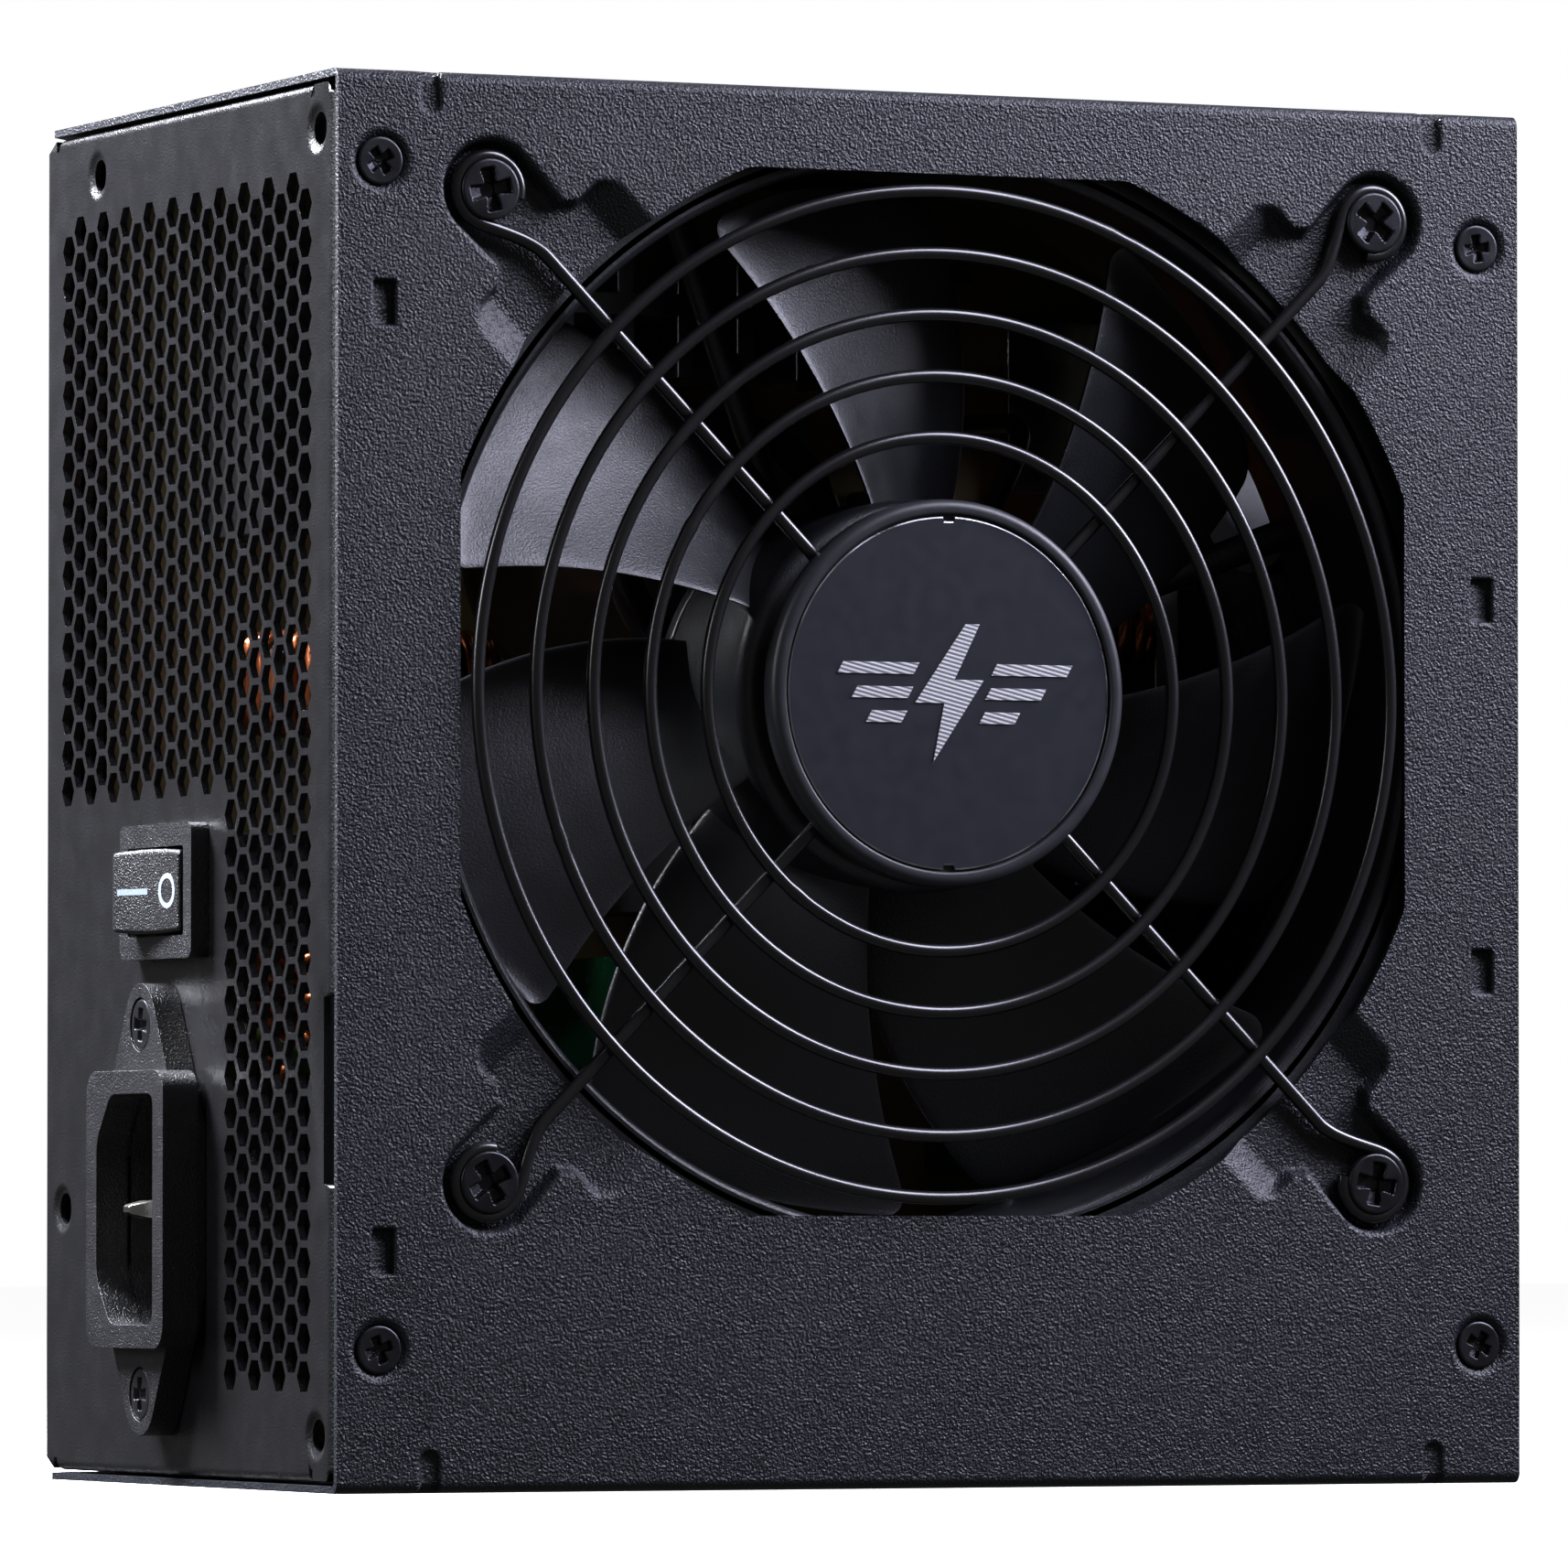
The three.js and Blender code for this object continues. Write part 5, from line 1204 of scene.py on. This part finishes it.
def can(radius, top, foot):
    """Profile of an electrolytic can: a rolled rim and a crimped neck."""
    lip = 0.12 * radius
    return [(0, top + 0.3), (radius - 2.2 * lip, top + 0.3), (radius - 1.4 * lip, top + 0.05),
            *arc((radius - lip, top + lip), lip, 280, 360, 5), (radius, foot - 3.2),
            (radius - CAN_NECK, foot - 2.6), (radius - CAN_NECK, foot - 2.2), (radius, foot - 1.6),
            (radius - 0.1, foot), (0, foot)]


def bare_top(radius, top):
    """The can's own aluminium inside the sleeve's edge, scored with a cross that is eased across."""
    front, back = top + BARE["front"], top + BARE["back"]
    edge = radius * BARE["radius"]
    points, faces = turned([(0, front), (edge, front), (edge, back), (0, back)], 48)
    scored = (points[:, 1] < top + 0.3) & (np.hypot(points[:, 0], points[:, 2]) < radius * SCORE["reach"])
    for u in (points[:, 0], points[:, 2]):
        points[:, 1] += SCORE["depth"] * smooth(1 - np.abs(u) / (SCORE["width"] * radius)) * scored
    return points, faces


# Shrunk PET sleeve: dark brown black and glossy, with soft ripples.
shrunk_sleeve = grain(finish("shrunk_capacitor_sleeve", "#1a1512", 0.22), 3.0, 0.05, ("#16120f", "#241d19"),
                      (0.18, 0.3))
# Deep-drawn aluminium: bright and even.
can_top = grain(finish("deep_drawn_aluminium", "#b9bbbe", 0.32, 1.0), 0.8, 0.01, ("#a2a4a7", "#cbcdd0"),
                (0.28, 0.4))
tops = []
for name in ("bulk_capacitor", *[f"output_capacitor_{i}" for i in (1, 2, 3, 4)]):
    can_low, can_high = box_of(name)
    place = middle_of(name) * (1, 0, 1)
    radius = (can_high[0] - can_low[0]) / 2
    piece(f"sleeved_{name}", *turned(can(radius, can_low[1] + 0.02, can_high[1]), 48, place), shrunk_sleeve,
          "capacitor_sleeve", nodes=[name], sharp=45, merge=True)
    points, faces = bare_top(radius, can_low[1])
    tops.append((points + place, faces))
piece("bare_can_tops", *joined(tops), can_top, "aluminium", sharp=40, merge=True)

# ---------------------------------------------------------------- wound chokes
# Ring cores wound by hand with one layer of thick enamelled copper. Each turn lies against the next inside
# the ring and fans out round the outside.


CHOKE = {"bore": 0.44, "wound": 0.93, "start": 0.4, "core_inset": 0.6}


def squircle(b, power):
    """How far a rounded square stands out from a circle at an angle: (|cos b|^n + |sin b|^n)^(-1/n)."""
    return (np.abs(np.cos(b)) ** power + np.abs(np.sin(b)) ** power) ** (-1 / power)


def wound_ring(name, axis, turns, wire):
    """A powder core, and wire carried round it: section angle b runs round a rounded square while the ring
    angle goes once round, so a point is centre + (R + a cos b') e + h sin b' axis."""
    ring_low, ring_high = box_of(name)
    centre, size = (ring_low + ring_high) / 2, ring_high - ring_low
    thick = size[2] if axis == "z" else size[0]
    outer = size[1] / 2
    inner = outer * CHOKE["bore"]
    ring, half_a, half_h = (outer + inner) / 2, (outer - inner) / 2 - wire, thick / 2 - wire
    t = np.linspace(0, 1, turns * 20)
    b = 2 * math.pi * turns * t
    theta = 2 * math.pi * CHOKE["wound"] * t + CHOKE["start"]
    r = ring + half_a * squircle(b, 4) * np.cos(b)
    path = stacked(r * np.cos(theta), r * np.sin(theta), half_h * squircle(b, 4) * np.sin(b))
    coil, coil_faces = sweep(path, wire * 0.5, 6, (0.13, 0.21, 0.97))

    inset = wire * CHOKE["core_inset"]
    section = np.linspace(0, 2 * math.pi, 24, endpoint=False)
    around_ring = np.linspace(0, 2 * math.pi, 72, endpoint=False)[:, None]
    r = ring + (half_a - inset) * squircle(section, 6) * np.cos(section)
    core = stacked(r * np.cos(around_ring), r * np.sin(around_ring),
                   (half_h - inset) * squircle(section, 6) * np.sin(section)).reshape(-1, 3)
    if axis == "x":
        coil, core = [points[:, [2, 1, 0]] * (1, 1, -1) for points in (coil, core)]
    return (coil + centre, coil_faces), (core + centre, grid_faces(72, 24, True, True))


# Iron powder core, dipped in green-blue epoxy.
dipped_core = grain(finish("epoxy_dipped_core", "#1d4a44", 0.4), 0.5, 0.03, ("#183f3a", "#22564f"),
                    (0.34, 0.48))
for name, axis, turns, wire in (("boost_choke", "z", 34, 1.5), ("filter_choke", "x", 22, 1.3),
                                ("output_choke", "z", 20, 1.7), ("resonant_choke", "x", 26, 1.4)):
    coil, core = wound_ring(name, axis, turns, wire)
    piece(f"{name}_winding", *coil, enamelled_copper, "copper_winding", nodes=[name], sharp=60, merge=True)
    piece(f"{name}_core", *core, dipped_core, "copper_winding", sharp=60, merge=True)

# ---------------------------------------------------------------- heatsinks, semiconductors, transformers
# Extruded aluminium heatsinks carry the epoxy-moulded semiconductors. Sintered ferrite cores hold
# tape-wrapped windings, and a boxed film capacitor stands by the inlet. All of these start from the frame's
# own solids, with their edges eased.


def eased_copy(name, look, width):
    """Copies a node's solid, merges its loose triangles into flat faces and rounds its edges."""
    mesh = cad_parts[name].data.copy()
    mesh.name = f"{name}_eased"
    work = bmesh.new()
    work.from_mesh(mesh)
    bmesh.ops.remove_doubles(work, verts=work.verts, dist=1e-6)
    bmesh.ops.dissolve_limit(work, angle_limit=math.radians(2), verts=work.verts, edges=work.edges)
    work.to_mesh(mesh)
    work.free()
    mesh.materials.clear()
    show(mesh, look, "case", [name], width, 30)


# Extruded aluminium: grey metal with faint lines along the extrusion.
extruded_aluminium = grain(finish("extruded_aluminium", "#8f9296", 0.36, 1.0), 0.5, 0.015,
                           ("#7c7f83", "#a2a5a9"), (0.3, 0.44), stretch=(0.1, 1, 1))
# Moulded epoxy: dull black.
moulded_epoxy = grain(finish("moulded_epoxy", "#17171a", 0.45), 0.15, 0.01, ("#151517", "#1d1d20"),
                      (0.4, 0.5))
# Polyester tape, wound tight: yellow and glossy, with long soft ripples round the winding.
polyester_tape = grain(finish("polyester_winding_tape", "#c2a02f", 0.3), 2.0, 0.05, ("#b39127", "#cfae3c"),
                       (0.25, 0.38), stretch=(1, 0.15, 1))
EASED = {
    ("aluminium", extruded_aluminium): {"primary_heatsink": 0.15, "secondary_heatsink": 0.15},
    ("dark_moulding", moulded_epoxy): {"bridge_rectifier": 0.35, "power_transistor": 0.35,
                                       "output_rectifier": 0.35},
    ("yellow_tape", polyester_tape): {"suppression_capacitor": 0.5, "transformer_winding": 1.2,
                                      "standby_transformer": 0.7},
    ("ferrite", sintered_ferrite): {"transformer_core": 0.4},
    ("green_coating", green_lacquer): {"control_board": 0.12},
    ("tinned_metal", tinned_brass): {"output_bus_bar": 0.2},
}
for (slot, look), widths in EASED.items():
    for name, width in widths.items():
        eased_copy(name, look, width)

# ---------------------------------------------------------------- fuse and thermistor
# A glass fuse with tinned end caps lies by the inlet, and a lacquered thermistor disc stands by it. Both are
# soldered to the board.

fuse_low, fuse_high = box_of("mains_fuse")
fuse_axis = middle_of("mains_fuse") * (1, 1, 0)
FUSE = {"radius": 3.0, "cap": 5.0, "chamfer": 0.4, "glass": 2.7, "wall": 0.5, "tucked": 4.5}

caps = []
for end, way in ((fuse_low[2], 1), (fuse_high[2], -1)):
    profile = [(0, end), (FUSE["radius"] - FUSE["chamfer"], end),
               (FUSE["radius"], end + FUSE["chamfer"] * way), (FUSE["radius"], end + FUSE["cap"] * way),
               (0, end + FUSE["cap"] * way)]
    caps.append(turned(profile, 40, fuse_axis, "z"))
piece("fuse_end_caps", *joined(caps), tinned_brass, "glass_tube", nodes=["mains_fuse"], sharp=40, merge=True)

# Drawn glass tube: clear, with a fine waviness.
glass = grain(finish("drawn_glass_tube", "#eef2f2", 0.05, **{"Transmission Weight": 1.0, "IOR": 1.47}),
              2.0, 0.005, ("#e8eeee", "#f3f6f6"), (0.03, 0.08))
glass_low, glass_high = fuse_low[2] + FUSE["tucked"], fuse_high[2] - FUSE["tucked"]
glass_inside = FUSE["glass"] - FUSE["wall"]
tube_profile = [(FUSE["glass"], glass_low), (FUSE["glass"], glass_high), (glass_inside, glass_high),
                (glass_inside, glass_low)]
piece("fuse_glass", *turned(tube_profile, 40, fuse_axis, "z", closed=True), glass, "glass_tube",
      sharp=40, merge=True)

disc_low, disc_high = box_of("inrush_thermistor")
DISC_ROUND = 1.9
lens = [(0, -2.0), *arc(((disc_high[1] - disc_low[1]) / 2 - DISC_ROUND, 0), DISC_ROUND, 270, 450, 12),
        (0, 2.0)]
piece("lacquered_thermistor", *turned(lens, 60, middle_of("inrush_thermistor"), "x"), green_lacquer,
      "green_coating", nodes=["inrush_thermistor"], sharp=50, merge=True)

# ---------------------------------------------------------------- leads
# Four short PVC-insulated leads, held at both ends. Three run from the inlet's pins to the switch, the board
# and the case, and one from the fan to the board.

# PVC insulation, extruded: smooth and slightly waxy, in one colour for each lead.
pvc = {"line": "#4b2618", "neutral": "#22375c", "earth": "#4c6b1d", "fan": "#1b1b1d"}


def curve_through(knots, steps):
    """A smooth route through knots: on each stretch the cubic of Catmull and Rom with uniform spacing."""
    knots = np.array(knots, float)
    padded = np.concatenate([2 * knots[:1] - knots[1:2], knots, 2 * knots[-1:] - knots[-2:-1]])
    t = np.linspace(0, 1, steps, endpoint=False)[:, None]
    stretches = [0.5 * (2 * b + (c - a) * t + (2 * a - 5 * b + 4 * c - d) * t ** 2
                        + (3 * b - a - 3 * c + d) * t ** 3)
                 for a, b, c, d in zip(padded, padded[1:], padded[2:], padded[3:])]
    return np.concatenate([*stretches, knots[-1:]])


pin_end = box_of("inlet_pin_line")[1][0]
tab_end = switch_high[0]
inlet_y, inlet_z = inlet


def lead_start(name):
    """Where a lead leaves its pin, with a short straight stretch behind it."""
    y, z = pin_places[name]
    return [(pin_end + 0.3, y, z), (pin_end + 2.3, y, z)]


fan_lead_z = FAN_Z + 33
routes = {
    "line": [*lead_start("line"), (pin_end + 5, inlet_y - 3, inlet_z + 12),
             (tab_end + 6, switch[0] - 1, switch[1] - 8), (tab_end + 2.8, switch[0], switch[1]),
             (tab_end + 0.3, switch[0], switch[1])],
    "neutral": [*lead_start("neutral"), (pin_end + 13, inlet_y + 2, 12), (pin_end + 20, BOARD_Y - 15, 10),
                (pin_end + 20, BOARD_Y - 2.3, 10), (pin_end + 20, BOARD_Y - 0.3, 10)],
    "earth": [*lead_start("earth"), (pin_end + 3, inlet_y + 3, inlet_z + 10),
              (pin_end - 6, inlet_y + 5, inlet_z + 18), (REAR_X + 8.1, inlet_y + 14, inlet_z + 20.5),
              (REAR_X + 1.1, inlet_y + 14, inlet_z + 20.5)],
    "fan": [(12, FRAME_BACK + 0.3, FAN_Z + 10), (12, FRAME_BACK + 2.3, FAN_Z + 10),
            (22, FRAME_BACK + 6, FAN_Z + 22), (28, FRAME_BACK + 11, FAN_Z + 31),
            (30, FRAME_BACK + 25, fan_lead_z), (30, BOARD_Y - 2.3, fan_lead_z),
            (30, BOARD_Y - 0.3, fan_lead_z)],
}
LEAD_RADIUS = 1.15
for name, knots in routes.items():
    coat = grain(finish(f"pvc_{name}_lead", pvc[name], 0.35), 0.8, 0.01, (pvc[name], pvc[name]), (0.3, 0.4))
    lead = sweep(curve_through(knots, 12), LEAD_RADIUS, WIRE_SIDES, (0.31, 0.22, 0.93))
    piece(f"insulated_{name}_lead", *lead, coat, "rubber", nodes=[f"{name}_lead"], sharp=60, merge=True)
